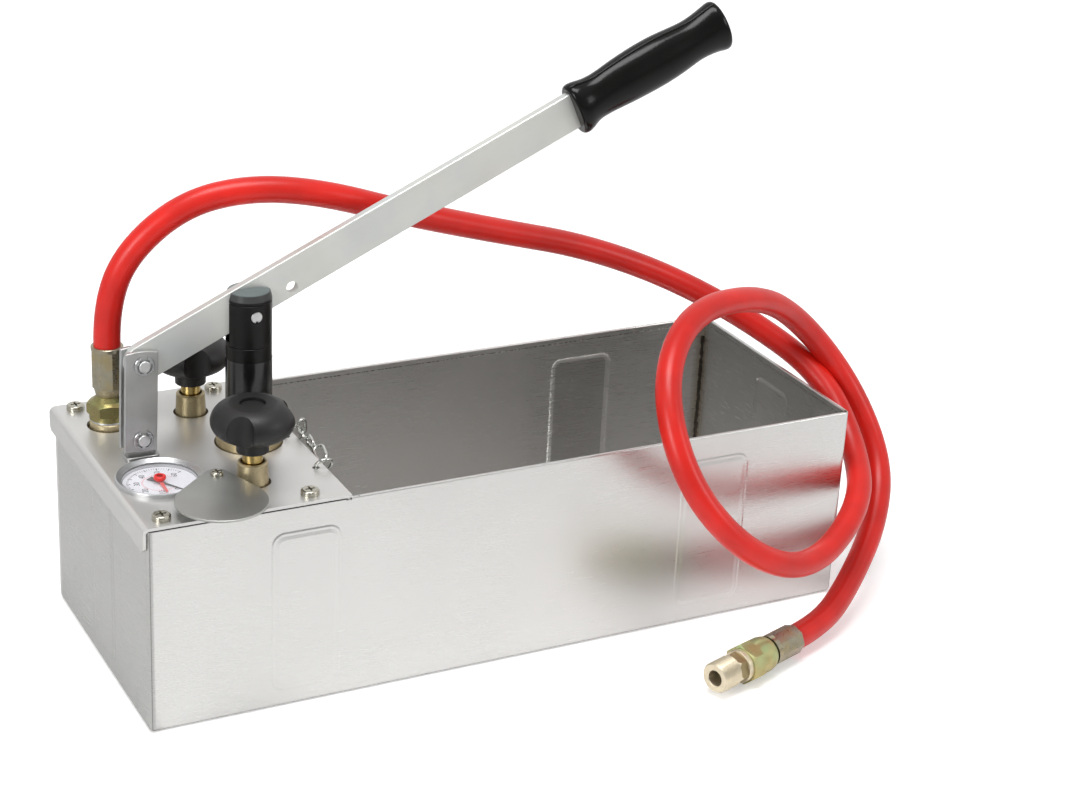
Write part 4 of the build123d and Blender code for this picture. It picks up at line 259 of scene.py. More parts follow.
finishes = {
    "tankSteel": {
        "colour": (0.62, 0.616, 0.602), "metal": 1.0, "rough": 0.30, "grain": (1, 1, 45),
        "levelGrain": (1, 45, 1), "grainScale": 60.0, "depth": 0.00004, "bump": 0.14,
        "clouds": 7.0, "swing": 0.025, "smudge": 0.025, "smudgeScale": 12.0,
    },
    "coverSteel": {
        "colour": (0.615, 0.61, 0.595), "metal": 0.72, "rough": 0.36, "grain": (1, 26, 1),
        "grainScale": 70.0, "depth": 0.00002, "bump": 0.08, "roughSwing": 0.08, "clouds": 9.0,
        "swing": 0.02, "smudge": 0.015, "smudgeScale": 18.0,
    },
    "flapSteel": {
        "colour": (0.425, 0.427, 0.408), "metal": 0.92, "rough": 0.40, "grainScale": 900.0,
        "depth": 0.00002, "bump": 0.15, "clouds": 30.0, "swing": 0.05, "scratches": (40, 1, 1),
        "scratchScale": 60.0, "scratchRough": 0.06,
    },
    "leverZinc": {
        "colour": (0.635, 0.64, 0.605), "metal": 0.62, "rough": 0.42, "grain": (1, 1, 12),
        "grainScale": 160.0, "depth": 0.00003, "bump": 0.15, "clouds": 26.0, "swing": 0.035,
        "tint": (0.54, 0.58, 0.61), "tintScale": 22.0, "tintShare": 0.4,
    },
    "linkZinc": {
        "colour": (0.42, 0.42, 0.41), "metal": 0.85, "rough": 0.42, "grain": (16, 1, 1),
        "grainScale": 150.0, "depth": 0.00004, "bump": 0.2, "clouds": 50.0, "swing": 0.06,
        "tint": (0.50, 0.52, 0.54), "tintScale": 60.0, "tintShare": 0.4,
    },
    "pinZinc": {
        "colour": (0.58, 0.585, 0.58), "metal": 0.9, "rough": 0.34, "grainScale": 600.0,
        "depth": 0.00002, "bump": 0.15, "clouds": 70.0, "swing": 0.05,
    },
    "ringSteel": {
        "colour": (0.40, 0.405, 0.41), "metal": 1.0, "rough": 0.30, "grainScale": 600.0,
        "depth": 0.00002, "bump": 0.15, "clouds": 70.0, "swing": 0.05,
    },
    "screwNickel": {
        "colour": (0.47, 0.45, 0.38), "metal": 1.0, "rough": 0.27, "grainScale": 600.0,
        "depth": 0.00002, "bump": 0.15, "clouds": 100.0, "swing": 0.06,
    },
    "bezelChrome": {
        "colour": (0.50, 0.505, 0.51), "metal": 0.85, "rough": 0.36, "grainScale": 300.0,
        "clouds": 60.0, "swing": 0.02,
    },
    "yellowZinc": {
        "colour": (0.42, 0.36, 0.165), "metal": 0.85, "rough": 0.40, "grainScale": 350.0,
        "depth": 0.00002, "bump": 0.2, "clouds": 90.0, "swing": 0.10, "tint": (0.40, 0.48, 0.24),
        "tintScale": 75.0, "tintShare": 0.9,
    },
    "ferruleZinc": {
        "colour": (0.345, 0.32, 0.245), "metal": 0.95, "rough": 0.30, "grainScale": 350.0,
        "depth": 0.00002, "bump": 0.2, "clouds": 110.0, "swing": 0.10, "tint": (0.42, 0.33, 0.16),
        "tintScale": 95.0, "tintShare": 0.7,
    },
    "castBrass": {
        "colour": (0.54, 0.455, 0.285), "metal": 0.9, "rough": 0.42, "grainScale": 1000.0,
        "depth": 0.00010, "bump": 0.4, "clouds": 130.0, "swing": 0.08, "pits": 0.5,
        "pitScale": 900.0,
    },
    "brightBrass": {
        "colour": (0.50, 0.37, 0.145), "metal": 1.0, "rough": 0.26, "grain": (1, 1, 30),
        "grainScale": 200.0, "depth": 0.00002, "bump": 0.15, "clouds": 120.0, "swing": 0.06,
    },
    "glandBrass": {
        "colour": (0.38, 0.31, 0.18), "metal": 0.9, "rough": 0.40, "grain": (1, 1, 30),
        "grainScale": 200.0, "depth": 0.00002, "bump": 0.15, "clouds": 120.0, "swing": 0.06,
    },
    # painted shade: a darker copy of yellowZinc for the hose nut, which lies in shade
    "nutZincPaintedShade": {
        "colour": (0.30, 0.25, 0.105), "metal": 0.95, "rough": 0.30, "grainScale": 350.0,
        "depth": 0.00002, "bump": 0.2, "clouds": 90.0, "swing": 0.10, "tint": (0.30, 0.33, 0.14),
        "tintScale": 75.0, "tintShare": 0.7,
    },
    "chainZinc": {
        "colour": (0.56, 0.57, 0.545), "metal": 1.0, "rough": 0.20, "grainScale": 600.0,
        "depth": 0.00002, "bump": 0.15, "clouds": 90.0, "swing": 0.10,
    },
    # painted shade: a darker copy of castBrass for the rear valve body, which lies in the lever's
    # shadow
    "castBrassPaintedShade": {
        "colour": (0.39, 0.325, 0.195), "metal": 0.9, "rough": 0.42, "grainScale": 1000.0,
        "depth": 0.00010, "bump": 0.4, "clouds": 130.0, "swing": 0.08, "pits": 0.5,
        "pitScale": 900.0,
    },
    "hexBrass": {
        "colour": (0.30, 0.235, 0.12), "metal": 0.9, "rough": 0.36, "grainScale": 400.0,
        "depth": 0.00002, "bump": 0.15, "clouds": 120.0, "swing": 0.08,
    },
    "paleBrass": {
        "colour": (0.69, 0.61, 0.455), "metal": 0.85, "rough": 0.42, "grainScale": 400.0,
        "depth": 0.00002, "bump": 0.15, "clouds": 120.0, "swing": 0.06,
    },
    "pistonBlack": {
        "colour": (0.006, 0.006, 0.0062), "rough": 0.20, "grain": (1, 1, 8), "grainScale": 60.0,
        "clouds": 40.0, "swing": 0.2, "gloss": 0.55,
    },
    "crossheadBlack": {
        "colour": (0.0038, 0.0039, 0.0035), "rough": 0.33, "grain": (1, 1, 25),
        "grainScale": 130.0, "depth": 0.00003, "bump": 0.2, "clouds": 60.0, "swing": 0.2,
        "gloss": 0.24,
    },
    "knobBlack": {
        "colour": (0.007, 0.0072, 0.0070), "rough": 0.47, "grainScale": 1300.0, "depth": 0.00005,
        "bump": 0.25, "clouds": 70.0, "swing": 0.12, "gloss": 0.43,
    },
    "gripBlack": {
        "colour": (0.0035, 0.0036, 0.0032), "rough": 0.19, "grainScale": 500.0, "depth": 0.00002,
        "bump": 0.15, "clouds": 60.0, "swing": 0.15, "gloss": 0.19,
    },
    "dialWhite": {
        "colour": (0.75, 0.745, 0.80), "rough": 0.5, "grainScale": 900.0, "clouds": 90.0,
        "swing": 0.02,
    },
    "inkBlack": {
        "colour": (0.02, 0.02, 0.022), "rough": 0.45, "grainScale": 900.0, "clouds": 90.0,
    },
    "markerRed": {
        "colour": (0.72, 0.035, 0.03), "rough": 0.32, "grainScale": 900.0, "clouds": 90.0,
    },
    "sealBlack": {
        "colour": (0.012, 0.012, 0.012), "rough": 0.6, "grainScale": 900.0, "clouds": 90.0,
    },
    "ballSteel": {
        "colour": (0.72, 0.72, 0.72), "metal": 1.0, "rough": 0.08, "grainScale": 300.0,
        "clouds": 90.0,
    },
    "hoseRed": {
        "colour": (0.57, 0.012, 0.007), "rough": 0.35, "grainScale": 700.0, "depth": 0.00006,
        "bump": 0.25, "clouds": 30.0, "swing": 0.10, "gloss": 0.38,
    },
}
materials = {name: makeFinish(name, finish) for name, finish in finishes.items()}

lens = {"colour": (0.95, 0.97, 0.97, 1.0), "rough": 0.03, "alpha": 0.08}


def makeLens():
    material, tree, shader = newMaterial("lensClear")
    shader.inputs["Base Color"].default_value = lens["colour"]
    shader.inputs["Roughness"].default_value = lens["rough"]
    shader.inputs["Alpha"].default_value = lens["alpha"]
    return material


materials["lensClear"] = makeLens()

tankMarks = {
    "halfLength": 0.2525,
    "halfWidth": 0.0975,
    "sheet": 0.0015,
    "corner": 0.004,
    "inside": (0.0030, 0.0034),  # from the centre of the corner's bend to the sheet's middle
    "weld": {"reach": 0.0020, "ease": 0.2, "wander": 0.0006, "wanderScale": 240.0, "rise": 0.0006,
             "strength": 0.6, "colour": (0.055, 0.045, 0.036)},
    "tint": {"reach": 0.0085, "share": 0.75, "colour": (0.33, 0.27, 0.19)},
    "hem": {"height": 0.13545, "half": 0.0004, "ease": 0.4, "dashScale": 420.0,
            "dashes": (0.45, 0.55), "faint": 0.25, "colour": (0.20, 0.19, 0.18)},
    "padHeights": (0.012, 0.1235),
    "longPads": [(-0.173, -0.126), (0.120, 0.172)],
    "leftPad": (-0.030, 0.014),
    "rightPad": (-0.024, 0.022),
    "padCorner": 0.009,
    "crease": {"inset": 0.0012, "half": 0.0014, "rise": 0.00023},
    # painted reflection: a thin dark line on the bend of each outer corner
    "cornerReflectionLine": {"turn": 58.0, "half": 0.00022, "share": 0.6, "colour": (0.17, 0.165, 0.16)},
    # painted light: a lighter colour for the inner face of the back wall
    "backWallPaintedLight": {"from": 0.09, "inside": 0.0007, "share": 0.85, "colour": (0.83, 0.825, 0.81)},
    # painted shadow: a dark strip on the walls just under the cover's edge
    "coverShadowLine": {"from": 0.1386, "to": 0.1391, "end": -0.1205, "colour": (0.05, 0.05, 0.048)},
}


# distance to a rounded panel's outline, below zero inside it
def panelDistance(tree, across, up, span):
    corner = tankMarks["padCorner"]
    over = []
    for value, (first, last) in ((across, span), (up, tankMarks["padHeights"])):
        away = combine(tree, "ABSOLUTE", combine(tree, "SUBTRACT", value, (first + last) / 2))
        over.append(combine(tree, "SUBTRACT", away, (last - first) / 2 - corner))
    outside = reachOf(tree, *[combine(tree, "MAXIMUM", value, 0.0) for value in over])
    within = combine(tree, "MINIMUM", combine(tree, "MAXIMUM", *over), 0.0)
    return combine(tree, "SUBTRACT", combine(tree, "ADD", outside, within), corner)


# how far a place lies in from the outer faces of the end walls and of the long walls
def insetsOf(tree, axes):
    insets = []
    for axis, half in (("X", tankMarks["halfLength"]), ("Y", tankMarks["halfWidth"])):
        insets.append(combine(tree, "SUBTRACT", half, combine(tree, "ABSOLUTE", axes[axis])))
    return insets


# painted light on the inner back wall, which is coloured lighter; brown welds in the inner corners;
# hem's line;
# a painted dark reflection line on the outer corners; and a painted shadow line on the walls just
# under the cover's edge
def colourTank(tree, shader, place, axes, insets):
    skin = shader.inputs["Base Color"].links[0].from_socket
    # from the centre of the corner's bend, the inner side is nearer than the outer side
    bend = [combine(tree, "MAXIMUM", combine(tree, "SUBTRACT", tankMarks["corner"], inset), 0.0)
            for inset in insets]
    inside = spread(tree, reachOf(tree, *bend), 1.0, 0.0, *tankMarks["inside"])

    # painted light: the inner face of the back wall is coloured lighter, as if more brightly lit
    wall = tankMarks["backWallPaintedLight"]
    back = combine(tree, "GREATER_THAN", axes["Y"], wall["from"])
    back = combine(tree, "MULTIPLY", back, combine(tree, "GREATER_THAN", insets[1], wall["inside"]))
    skin = blendColour(tree, combine(tree, "MULTIPLY", back, wall["share"]), skin, wall["colour"])

    weld, tint = tankMarks["weld"], tankMarks["tint"]
    fromSheet = [combine(tree, "SUBTRACT", inset, tankMarks["sheet"]) for inset in insets]
    reach = reachOf(tree, *fromSheet)
    wander = noiseAt(tree, place, (1, 1, 1), weld["wanderScale"])
    reach = combine(tree, "ADD", reach, spread(tree, wander, -weld["wander"], weld["wander"]))
    bead = spread(tree, reach, 1.0, 0.0, *around(weld["reach"], weld["ease"]))
    bead = combine(tree, "MULTIPLY", bead, inside)
    heat = spread(tree, reach, tint["share"], 0.0, weld["reach"], tint["reach"])
    skin = blendColour(tree, combine(tree, "MULTIPLY", heat, inside), skin, tint["colour"])
    skin = blendColour(tree, bead, skin, weld["colour"])

    hem = tankMarks["hem"]
    dashes = noiseAt(tree, place, (1, 1, 0), hem["dashScale"])
    dashes = spread(tree, dashes, hem["faint"], 1.0, *hem["dashes"])
    rise = combine(tree, "ABSOLUTE", combine(tree, "SUBTRACT", axes["Z"], hem["height"]))
    line = spread(tree, rise, 1.0, 0.0, *around(hem["half"], hem["ease"]))
    line = combine(tree, "MULTIPLY", combine(tree, "MULTIPLY", line, inside), dashes)
    skin = blendColour(tree, line, skin, hem["colour"])

    # painted reflection: a thin dark line on each outer corner's bend, beside its highlight
    cornerReflectionLine = tankMarks["cornerReflectionLine"]
    turn = math.radians(cornerReflectionLine["turn"])
    across = combine(tree, "SUBTRACT", combine(tree, "MULTIPLY", bend[1], math.cos(turn)),
                     combine(tree, "MULTIPLY", bend[0], math.sin(turn)))
    across = combine(tree, "ABSOLUTE", across)
    across = spread(tree, across, cornerReflectionLine["share"], 0.0, cornerReflectionLine["half"], cornerReflectionLine["half"] * 2)
    atCorner = combine(tree, "GREATER_THAN", combine(tree, "MINIMUM", *bend), 0.0)
    across = combine(tree, "MULTIPLY", across, combine(tree, "SUBTRACT", 1.0, inside))
    skin = blendColour(tree, combine(tree, "MULTIPLY", across, atCorner), skin, cornerReflectionLine["colour"])

    # painted shadow: a dark strip on the walls just under the cover's edge, where it covers the
    # tank
    gap = tankMarks["coverShadowLine"]
    under = spread(tree, axes["Z"], 0.0, 1.0, gap["from"], gap["to"])
    under = combine(tree, "MULTIPLY", under, combine(tree, "LESS_THAN", axes["X"], gap["end"]))
    skin = blendColour(tree, under, skin, gap["colour"])
    tree.links.new(skin, shader.inputs["Base Color"])
    bumpFrom(tree, shader, bead, weld["strength"], weld["rise"])


# the crease round each pressed panel
def creaseTank(tree, shader, axes, insets):
    crease = tankMarks["crease"]
    ends, sides = [combine(tree, "LESS_THAN", inset, tankMarks["corner"]) for inset in insets]
    right = combine(tree, "GREATER_THAN", axes["X"], 0.0)
    left = combine(tree, "SUBTRACT", 1.0, right)
    panels = [("X", span, sides) for span in tankMarks["longPads"]]
    panels.append(("Y", tankMarks["leftPad"], combine(tree, "MULTIPLY", ends, left)))
    panels.append(("Y", tankMarks["rightPad"], combine(tree, "MULTIPLY", ends, right)))
    folds = []
    for axis, span, where in panels:
        gap = panelDistance(tree, axes[axis], axes["Z"], span)
        gap = combine(tree, "ABSOLUTE", combine(tree, "ADD", gap, crease["inset"]))
        fold = spread(tree, gap, 1.0, 0.0, 0.0, crease["half"])
        folds.append(combine(tree, "MULTIPLY", fold, where))
    ridge = folds[0]
    for fold in folds[1:]:
        ridge = combine(tree, "MAXIMUM", ridge, fold)
    bumpFrom(tree, shader, ridge, 1.0, crease["rise"])


def markTank(material):
    tree = material.node_tree
    shader = tree.nodes["Principled BSDF"]
    place = objectPlace(tree)
    axes = axesOf(tree, place)
    insets = insetsOf(tree, axes)
    colourTank(tree, shader, place, axes, insets)
    creaseTank(tree, shader, axes, insets)


# painted reflection: lighter grey colours for the crosshead's band and dome
crossheadPaintedReflection = {
    "band": (0.2424, 0.2430),
    "dome": (0.2466, 0.2474),
    "bandColour": (0.045, 0.046, 0.046),
    "domeColour": (0.13, 0.155, 0.155),
}


# painted reflection: the crosshead's turned band and domed cap are coloured greyer and lighter than
# its sides, standing in for the bright overhead they mirror
def markCrosshead(material):
    tree = material.node_tree
    shader = tree.nodes["Principled BSDF"]
    axes = axesOf(tree, objectPlace(tree))
    skin = shader.inputs["Base Color"].links[0].from_socket
    for zone in ("band", "dome"):
        share = spread(tree, axes["Z"], 0.0, 1.0, *crossheadPaintedReflection[zone])
        skin = blendColour(tree, share, skin, crossheadPaintedReflection[zone + "Colour"])
    tree.links.new(skin, shader.inputs["Base Color"])


# painted shade inside the hollow of the marker's knob
markerHollowShade = {
    "centre": (-0.2232, -0.0353),
    "hollow": (0.0020, 0.0022),
    "colour": (0.22, 0.012, 0.012),
}


# painted shade: the hollow in the marker's knob is coloured darker than its ring
def markMarker(material):
    tree = material.node_tree
    shader = tree.nodes["Principled BSDF"]
    axes = axesOf(tree, objectPlace(tree))
    away = [combine(tree, "SUBTRACT", axes[axis], middle)
            for axis, middle in zip(("X", "Y"), markerHollowShade["centre"])]
    share = spread(tree, reachOf(tree, *away), 1.0, 0.0, *markerHollowShade["hollow"])
    skin = shader.inputs["Base Color"].links[0].from_socket
    skin = blendColour(tree, share, skin, markerHollowShade["colour"])
    tree.links.new(skin, shader.inputs["Base Color"])


markMarker(materials["markerRed"])
markCrosshead(materials["crossheadBlack"])
markTank(materials["tankSteel"])
print("materials made:", len(materials))

nodeFinish = {
    "tankSteel": ["tank_shell", "cover_rails", "suction_strainer"],
    "coverSteel": ["cover_plate"],
    "flapSteel": ["gauge_flap"],
    "leverZinc": ["lever_bar"],
    "linkZinc": ["link_plate_front", "link_plate_rear", "link_lug"],
    "pinZinc": ["link_lower_pin", "link_upper_pin", "crosshead_pin", "flap_spacer", "flap_nut",
                "outlet_washer"],
    "chainZinc": ["lock_chain"],
    "ringSteel": ["retaining_rings"],
    "screwNickel": ["cover_screws", "flap_screw"],
    "bezelChrome": ["gauge_bezel", "gauge_case"],
    "yellowZinc": ["end_nut"],
    "nutZincPaintedShade": ["hose_nut"],
    "ferruleZinc": ["hose_ferrule", "end_ferrule"],
    "castBrass": ["pump_block", "suction_body", "front_valve_body", "outlet_adapter"],
    "castBrassPaintedShade": ["rear_valve_body"],
    "brightBrass": ["pump_cylinder", "front_valve_spindle", "rear_valve_spindle"],
    "glandBrass": ["gland_nut"],
    "paleBrass": ["end_nipple"],
    "pistonBlack": ["piston"],
    "crossheadBlack": ["crosshead"],
    "knobBlack": ["front_valve_knob", "rear_valve_knob", "front_knob_cap", "rear_knob_cap"],
    "gripBlack": ["lever_grip"],
    "dialWhite": ["gauge_dial"],
    "inkBlack": ["gauge_needle"],
    "markerRed": ["gauge_marker"],
    "lensClear": ["gauge_lens"],
    "sealBlack": ["piston_seal"],
    "ballSteel": ["suction_ball", "discharge_ball"],
    "hoseRed": ["hose"],
}


def dressNodes():
    for finish, names in nodeFinish.items():
        for name in names:
            for place in nodes[name].material_slots:
                place.material = materials[finish]


dressNodes()
print("nodes dressed")


def addMesh(name, mesh, body):
    piece = placeObject(name, mesh)
    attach(piece, body)
    return piece


# the evaluated shape of an object as a plain mesh
def settle(source, name):
    bpy.context.view_layer.update()
    graph = bpy.context.evaluated_depsgraph_get()
    mesh = bpy.data.meshes.new_from_object(source.evaluated_get(graph))
    mesh.name = name
    bpy.data.objects.remove(source)
    return mesh


nipple = {
    "start": (0.1745, -0.1662, 0.0136),  # the hose's end; below it, millimetres from there
    "axis": (-0.9475, -0.3198, 0.0),
    "segments": 144,
    "sharp": 28.0,
    "back": 54.0,
    "collar": {"end": 58.0, "radius": 11.2, "edge": 0.4},
    "hexagon": {"end": 65.3, "flats": 18.8, "corner": 10.95, "turn": 17.0, "cone": 2.2,
                "narrow": 1.2, "rows": 20},
    "thread": {"end": 81.0, "radius": 10.48, "pitch": 1.814, "depth": 0.85, "edge": 1.0,
               "perPitch": 8, "sharpness": 1.2},
    "bore": {"radius": 5.4, "edge": 0.5},
}


# a shape turned round the z axis: each row is a height and a radius, or a rule for the radius
def turnRows(name, rows, segments, finishAt):
    whole = bmesh.new()
    rings = []
    for height, radius in rows:
        ring = []
        for step in range(segments):
            angle = 2 * math.pi * step / segments
            reach = radius(height, angle) if callable(radius) else radius
            ring.append(whole.verts.new((reach * math.cos(angle), reach * math.sin(angle), height)))
        rings.append(ring)
    pairs = list(zip(rings, rings[1:])) + [(rings[-1], rings[0])]
    for index, (lower, upper) in enumerate(pairs):
        for step in range(segments):
            after = (step + 1) % segments
            face = whole.faces.new((lower[step], lower[after], upper[after], upper[step]))
            face.smooth = True
            face.material_index = finishAt(index, (step + 0.5) * 2 * math.pi / segments)
    bmesh.ops.recalc_face_normals(whole, faces=whole.faces)
    mesh = bpy.data.meshes.new(name)
    whole.to_mesh(mesh)
    whole.free()
    mesh.set_sharp_from_angle(angle=math.radians(nipple["sharp"]))
    return mesh


def makeNipple():
    collar, hexagon, thread, bore = (nipple[key] for key in ("collar", "hexagon", "thread", "bore"))

    # the six flats, and the turned cone that narrows them towards the thread
    def flatAndCone(height, angle):
        side = 60
        turned = (math.degrees(angle) - hexagon["turn"] - side / 2) % side
        away = math.radians(min(turned, side - turned))
        along = max(0.0, height - hexagon["end"] + hexagon["cone"]) / hexagon["cone"]
        return hexagon["flats"] / 2 / math.cos(away), hexagon["corner"] - along * hexagon["narrow"]

    def flat(height, angle):
        return min(flatAndCone(height, angle))

    def groove(height, angle):
        share = (height / thread["pitch"] - angle / (2 * math.pi)) % 1.0
        cut = thread["depth"] * (1 - abs(2 * share - 1)) ** thread["sharpness"]
        ease = min(1.0, (thread["end"] - thread["edge"] - height) / thread["edge"] + 1.0)
        return thread["radius"] - cut * max(ease, 0.0)

    rows = [(nipple["back"], collar["radius"]), (collar["end"] - collar["edge"], collar["radius"]),
            (collar["end"], collar["radius"] - collar["edge"])]
    hexRow = len(rows)
    for step in range(hexagon["rows"] + 1):
        rise = (hexagon["end"] - collar["end"]) * step / hexagon["rows"]
        rows.append((collar["end"] + rise, flat))
    length = thread["end"] - thread["edge"] - hexagon["end"]
    count = round(length / thread["pitch"] * thread["perPitch"])
    for step in range(count + 1):
        rows.append((hexagon["end"] + length * (step / count), groove))
    rows += [(thread["end"], thread["radius"] - thread["edge"]),
             (thread["end"], bore["radius"] + bore["edge"]),
             (thread["end"] - bore["edge"], bore["radius"]), (nipple["back"], bore["radius"])]

    def finishAt(index, angle):
        if not hexRow <= index < hexRow + hexagon["rows"]:
            return 0
        side, cone = flatAndCone((rows[index][0] + rows[index + 1][0]) / 2, angle)
        return int(side < cone)

    mesh = turnRows("endNipple", rows, nipple["segments"], finishAt)
    mesh.materials.append(materials["paleBrass"])
    mesh.materials.append(materials["hexBrass"])
    axis = Vector(nipple["axis"]).normalized()
    upward = Vector((0, 0, 1))
    turn = Matrix((upward, axis.cross(upward), axis)).transposed().to_4x4()
    mesh.transform(Matrix.Translation(nipple["start"]) @ turn @ Matrix.Scale(0.001, 4))
    piece = addMesh("endNippleThreaded", mesh, "frame")
    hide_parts("end_nipple")
    return piece


endNipple = makeNipple()
print("threaded nipple turned")

hose = {
    "route": [  # the tube's control points in millimetres, from the cover to the free end
        (-226.9, 57.0, 198.0), (-226.9, 57.0, 223.5), (-214.5, 53.5, 259.5), (-179.6, 48.0, 290.3),
        (-138.0, 41.0, 300.0), (-91.0, 33.0, 295.0), (-30.0, 32.0, 274.0), (45.0, 44.0, 249.0),
        (117.0, 53.0, 227.0), (183.4, 47.2, 199.2), (237.0, 20.7, 169.3), (276.1, -25.1, 138.1),
        (278.8, -71.1, 100.1), (254.1, -121.2, 79.7), (189.4, -160.8, 59.8), (129.0, -173.0, 87.0),
        (88.0, -155.0, 137.0), (88.0, -115.0, 192.0), (130.0, -74.0, 222.0), (204.2, -43.4, 213.7),
        (260.6, -18.2, 176.8), (300.2, -30.4, 125.9), (308.0, -66.1, 79.0), (282.0, -101.1, 49.7),
        (241.5, -132.0, 25.2), (205.0, -155.9, 13.6), (174.5, -166.2, 13.6),
    ],
    "diameter": 0.0175,
    "length": 1.528,
    "order": 3,
    "steps": 12,
    "roundness": 8,
}


def makeHose():
    curve = bpy.data.curves.new("testHose", "CURVE")
    curve.dimensions = "3D"
    line = curve.splines.new("NURBS")
    line.points.add(len(hose["route"]) - 1)
    for point, place in zip(line.points, hose["route"]):
        point.co = (*[value / 1000 for value in place], 1.0)
    line.order_u = hose["order"]
    line.use_endpoint_u = True
    line.resolution_u = hose["steps"]
    curve.bevel_depth = hose["diameter"] / 2
    curve.bevel_resolution = hose["roundness"]
    curve.use_fill_caps = True
    curve.materials.append(materials["hoseRed"])
    piece = placeObject("testHose", curve)
    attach(piece, "frame")
    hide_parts("hose")


makeHose()
print("hose laid")

dial = {
    "centre": (-0.2232, -0.0353, 0.14003),
    "zeroAngle": -57.0,
    "sweep": -270.0,
    "upAngle": 168.0,
    "numbers": [0, 10, 20, 30, 40, 50, 60],
    "numberRadius": 0.0142,
    "numberSize": 0.0054,
    "ticks": [
        {"count": 13, "outer": 0.0208, "length": 0.0026, "width": 0.0006, "finish": "inkBlack"},
        {"count": 61, "outer": 0.0208, "length": 0.0014, "width": 0.00026, "finish": "inkBlack"},
        {"count": 41, "outer": 0.0116, "length": 0.0012, "width": 0.00030, "finish": "markerRed"},
    ],
    "ink": 0.00006,
}


# a node tree with its named inputs, and the nodes that carry them in and out
def newTree(name, floats, counts=()):
    tree = bpy.data.node_groups.new(name, "GeometryNodeTree")
    face = tree.interface
    face.new_socket("Geometry", in_out="INPUT", socket_type="NodeSocketGeometry")
    for names, kind in ((counts, "NodeSocketInt"), (floats, "NodeSocketFloat"),
                        (("Material",), "NodeSocketMaterial")):
        for socket in names:
            face.new_socket(socket, in_out="INPUT", socket_type=kind)
    face.new_socket("Geometry", in_out="OUTPUT", socket_type="NodeSocketGeometry")
    return tree, tree.nodes.new("NodeGroupInput").outputs, tree.nodes.new("NodeGroupOutput")


# copies of a shape on points, made real and given the tree's material
def endTree(tree, given, result, points, shape, turn):
    new, link = tree.nodes.new, tree.links.new
    copies = new("GeometryNodeInstanceOnPoints")
    link(points, copies.inputs["Points"])
    link(shape, copies.inputs["Instance"])
    link(turn, copies.inputs["Rotation"])
    real = new("GeometryNodeRealizeInstances")
    link(copies.outputs[0], real.inputs[0])
    paint = new("GeometryNodeSetMaterial")
    link(real.outputs[0], paint.inputs["Geometry"])
    link(given["Material"], paint.inputs["Material"])
    link(paint.outputs[0], result.inputs[0])
    return tree


def makeTickTree():
    floats = ("Radius", "Start", "Step", "Length", "Width", "Thickness")
    tree, given, result = newTree("dialTicks", floats, ("Count",))
    new, link = tree.nodes.new, tree.links.new
    row = new("GeometryNodeMeshLine")
    link(given["Count"], row.inputs["Count"])
    index = new("GeometryNodeInputIndex").outputs[0]
    angle = combine(tree, "MULTIPLY_ADD", index, given["Step"], given["Start"])
    direction = new("ShaderNodeCombineXYZ")
    for socket, operation in zip(direction.inputs, ("COSINE", "SINE")):
        link(combine(tree, operation, angle), socket)
    reach = new("ShaderNodeVectorMath")
    reach.operation = "SCALE"
    link(direction.outputs[0], reach.inputs[0])
    link(given["Radius"], reach.inputs["Scale"])
    put = new("GeometryNodeSetPosition")
    link(row.outputs["Mesh"], put.inputs["Geometry"])
    link(reach.outputs[0], put.inputs["Position"])
    size = new("ShaderNodeCombineXYZ")
    for socket, name in zip(size.inputs, ("Length", "Width", "Thickness")):
        link(given[name], socket)
    bar = new("GeometryNodeMeshCube")
    link(size.outputs[0], bar.inputs["Size"])
    turn = new("ShaderNodeCombineXYZ")
    link(angle, turn.inputs[2])
    return endTree(tree, given, result, put.outputs[0], bar.outputs["Mesh"], turn.outputs[0])


# runs a node tree on points, or on nothing, and returns the plain mesh
def grow(name, tree, settings, points=None):
    holder = placeObject(name, points or bpy.data.meshes.new(name))
    modifier = holder.modifiers.new("grow", "NODES")
    modifier.node_group = tree
    for item in tree.interface.items_tree:
        if item.item_type == "SOCKET" and item.in_out == "INPUT" and item.name in settings:
            modifier[item.identifier] = settings[item.name]
    return settle(holder, name)


def joined(name, meshes, finish):
    whole = bmesh.new()
    for mesh in meshes:
        whole.from_mesh(mesh)
    result = bpy.data.meshes.new(name)
    whole.to_mesh(result)
    whole.free()
    result.materials.append(materials[finish])
    return result


def makeDialPrint():
    tree = makeTickTree()
    start = math.radians(dial["zeroAngle"])
    meshes = {"inkBlack": [], "markerRed": []}
    for part in dial["ticks"]:
        mesh = grow("ticks", tree, {
            "Count": part["count"],
            "Radius": part["outer"] - part["length"] / 2,
            "Start": start,
            "Step": math.radians(dial["sweep"]) / (part["count"] - 1),
            "Length": part["length"],
            "Width": part["width"],
            "Thickness": dial["ink"],
            "Material": materials[part["finish"]],
        })
        mesh.transform(Matrix.Translation(dial["centre"]))
        meshes[part["finish"]].append(mesh)
    upright = Matrix.Rotation(math.radians(dial["upAngle"] - 90), 4, "Z")
    for number in dial["numbers"]:
        angle = math.radians(dial["zeroAngle"] + dial["sweep"] * number / dial["numbers"][-1])
        text = bpy.data.curves.new("number", "FONT")
        text.body = str(number)
        text.size = dial["numberSize"]
        text.align_x, text.align_y = "CENTER", "CENTER"
        text.extrude = dial["ink"] / 2
        mesh = settle(placeObject("number", text), "number")
        outward = Vector((math.cos(angle), math.sin(angle), 0))
        spot = Vector(dial["centre"]) + outward * dial["numberRadius"]
        mesh.transform(Matrix.Translation(spot) @ upright)
        meshes["inkBlack"].append(mesh)
    for name, finish, slot in (("dialPrint", "inkBlack", "needle_black"),
                               ("dialRedPrint", "markerRed", "marker_red")):
        addMesh(name, joined(name, meshes[finish], finish), "frame")


makeDialPrint()
print("dial printed")

